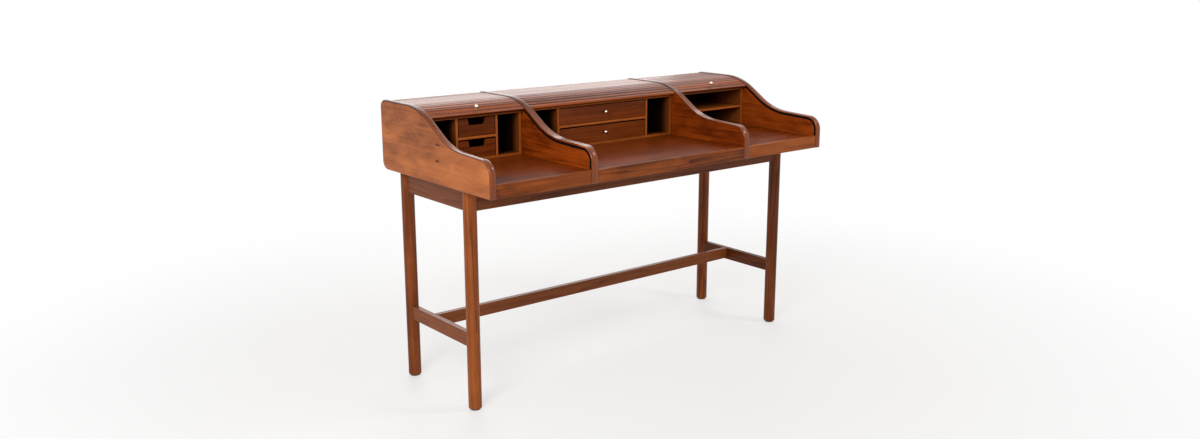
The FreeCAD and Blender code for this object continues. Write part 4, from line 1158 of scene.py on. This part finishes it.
# %% Four turned knobs
BALL, KNOB_HEIGHT, NECK = 6 * MM, 16 * MM, 2.25 * MM
KNOB_REACH, KNOB_RISE = 24 * MM, 32 * MM
collar_and_stem = MM * np.array((
    (0, 0), (4, 0), (4, 0.9), (3.75, 1.3), (3.3, 1.5), (2.5, 1.6), (2.1, 2.4), (2.1, 3.6)
))
ball_angle = np.linspace(math.pi - math.asin(NECK / BALL), 0, 22)
ball_profile = np.stack((np.sin(ball_angle), np.cos(ball_angle)), 1) * BALL + (0, KNOB_HEIGHT - BALL)
knob_profile, stem_rows = np.vstack((collar_and_stem, ball_profile)), len(collar_and_stem)
lead_start, lead_angle = places[0]
knob_foot = set_down(np.array((KNOB_REACH, LEAD_THICK)), lead_start, lead_angle)
leaning = (0, -math.sin(lead_angle), math.cos(lead_angle))
KNOBS = {
    "left_door_knob": ((-SIDE_MIDDLE, *knob_foot), leaning),
    "right_door_knob": ((SIDE_MIDDLE, *knob_foot), leaning),
    "upper_drawer_knob": ((0, UNIT_FRONT, SHELF_TOP + DRAWER_LIFT + KNOB_RISE), (0, -1, 0)),
    "lower_drawer_knob": ((0, UNIT_FRONT, FLOOR_LEVEL + DRAWER_LIFT + KNOB_RISE), (0, -1, 0)),
}
for name, (foot, axis) in KNOBS.items():
    knob = Piece(name, f"{name}_turned")
    spun(knob, knob_profile, foot, axis, sides=40, change=stem_rows)
    # the drawer knobs take the darker stem metal: painted shade on the stem
    knob.made((nickel, shaded_brass if "drawer" in name else brass), smooth=50)

# %% The screws of the back
HEAD, DOME, CROSS_DEPTH, CROSS_WIDTH = 3.5 * MM, 2.2 * MM, 1.1 * MM, 0.15 * MM
CROSS_END = 0.62  # share of the head's radius
SCREWS_PER_COLUMN, LOWEST_SCREW, SCREW_RUN = 4, 740 * MM, 143 * MM
screws = Piece("back_screws", "back_screw_heads")
ring, turn = np.meshgrid(np.linspace(0, 1, 12), np.linspace(0, 2 * math.pi, 49), indexing="ij")
# the cross is deep where one of two lines through the middle is near
near_line = np.minimum(np.abs(np.sin(turn)), np.abs(np.cos(turn))) * ring * HEAD
cross = np.clip(3 - near_line / CROSS_WIDTH, 0, 1) * np.clip((CROSS_END - ring) * 10, 0, 1)
lift = DOME * (1 - ring ** 2) - cross * CROSS_DEPTH * (1 - 0.4 * ring)
divider_middle = (CENTRE_EDGE + BAY_EDGE) / 2
for x in (-divider_middle, divider_middle):
    for z in LOWEST_SCREW + SCREW_RUN * np.linspace(0, 1, SCREWS_PER_COLUMN):
        side, up = x + HEAD * ring * np.cos(turn), z + HEAD * ring * np.sin(turn)
        points = np.stack((side, PANEL_OUTER + lift, up), -1)
        screws.grid(points, points)
        screws.face(points[-1, :-1], points[-1, :-1])
        screws.close()
screws.made((screw_brass,), smooth=35)

# %% [markdown]
# ## Floor, light and camera
# The floor is plain and pale and fades to white away from the desk, so no horizon line competes
# with it. The light is that of a white room: an even world, a large soft lamp at the left like a
# window, and one high in front of the desk at the right. Three weaker ones stand behind the desk:
# they lay the pale sheen over the roof and the thin highlights along the rounded edges.

# %% The floor
FLOOR, FADE = 14.0, (0.9, 2.6)  # half its width, and between which distances it goes white
GLOW = 0.5  # how white the camera sees it near the desk
floor_mesh = bpy.data.meshes.new("pale_floor")
corners = [(FLOOR * x, FLOOR * y, 0) for x, y in ((-1, -1), (1, -1), (1, 1), (-1, 1))]
floor_mesh.from_pydata(corners, [], [(0, 1, 2, 3)])
floor = bpy.data.objects.new("pale_floor", floor_mesh)
bpy.context.scene.collection.objects.link(floor)
material, tree, shader = blank("pale_floor")
place = Wire.node(tree, "ShaderNodeTexCoord", out="Object")
away = Wire.node(tree, "ShaderNodeVectorMath", {"operation": "LENGTH"}, {0: place}, out="Value")
feed(tree, shader, {"Base Color": (*paint(238, 236, 234), 1), "Roughness": 0.6})
white = Wire.node(tree, "ShaderNodeEmission", {}, {"Color": (1, 1, 1, 1), "Strength": 1.0})
rays = Wire.node(tree, "ShaderNodeLightPath", out="Is Camera Ray")
glossy = Wire.node(tree, "ShaderNodeLightPath", out="Is Glossy Ray")
fade = (away.smooth(*FADE) * (1 - GLOW) + GLOW) * rays.math("MAXIMUM", glossy)
surface = Wire.node(tree, "ShaderNodeMixShader", {}, {0: fade, 1: Wire(shader.outputs[0]), 2: white})
tree.links.new(surface.socket, tree.nodes["Material Output"].inputs["Surface"])
floor_mesh.materials.append(material)

# %% World and lamps
world = bpy.data.worlds.new("white_room")
bpy.context.scene.world = world
world.use_nodes = True
sky = world.node_tree
AMBIENT = 0.48  # what the world gives as light, where the camera sees it as white
seen = Wire.node(sky, "ShaderNodeLightPath", out="Is Camera Ray")
seen = seen.math("MAXIMUM", Wire.node(sky, "ShaderNodeLightPath", out="Is Glossy Ray"))
strength = seen * (1 - AMBIENT) + AMBIENT
sky.nodes["Background"].inputs["Color"].default_value = (1, 1, 1, 1)
sky.links.new(strength.socket, sky.nodes["Background"].inputs["Strength"])

LAMPS = {  # each has its place, what height of the desk it looks at, its width and its power
    "left_window": ((-3.2, -1.9, 2.4), 0.7, 1.5, 84),
    "high_softbox": ((1.8, -1.8, 3.0), 0.8, 0.8, 24),
    "side_softbox": ((2.3, 1.4, 2.9), 0.8, 0.8, 6),
    "rear_softbox": ((0.2, 2.4, 2.9), 0.8, 1.2, 12),
    "rear_window": ((1.6, 2.8, 1.7), 0.8, 2.0, 24),
}
for name, (place, aim, width, power) in LAMPS.items():
    light = bpy.data.lights.new(name, "AREA")
    light.size, light.energy = width, power
    holder = bpy.data.objects.new(name, light)
    holder.location = place
    holder.rotation_euler = (Vector((0, 0, aim)) - Vector(place)).to_track_quat("-Z", "Y").to_euler()
    holder.visible_camera = False
    bpy.context.scene.collection.objects.link(holder)
print(len(LAMPS), "soft lamps, which the camera doesn't see")

# %% The camera
CAMERA_PLACE = (-2.3618, -2.8349, 1.3621)
BEHIND = Vector((-0.6137, -0.7551, 0.2309))  # the way back from what the camera looks at
scene = bpy.context.scene
lens = bpy.data.cameras.new("camera")
lens.sensor_width, lens.lens, lens.shift_y = 36, 32.68, -0.002
camera = bpy.data.objects.new("camera", lens)
camera.location = CAMERA_PLACE
camera.rotation_euler = (-BEHIND).to_track_quat("-Z", "Y").to_euler()
scene.collection.objects.link(camera)
scene.camera = camera
scene.view_settings.view_transform = "Standard"
print("camera at", CAMERA_PLACE)
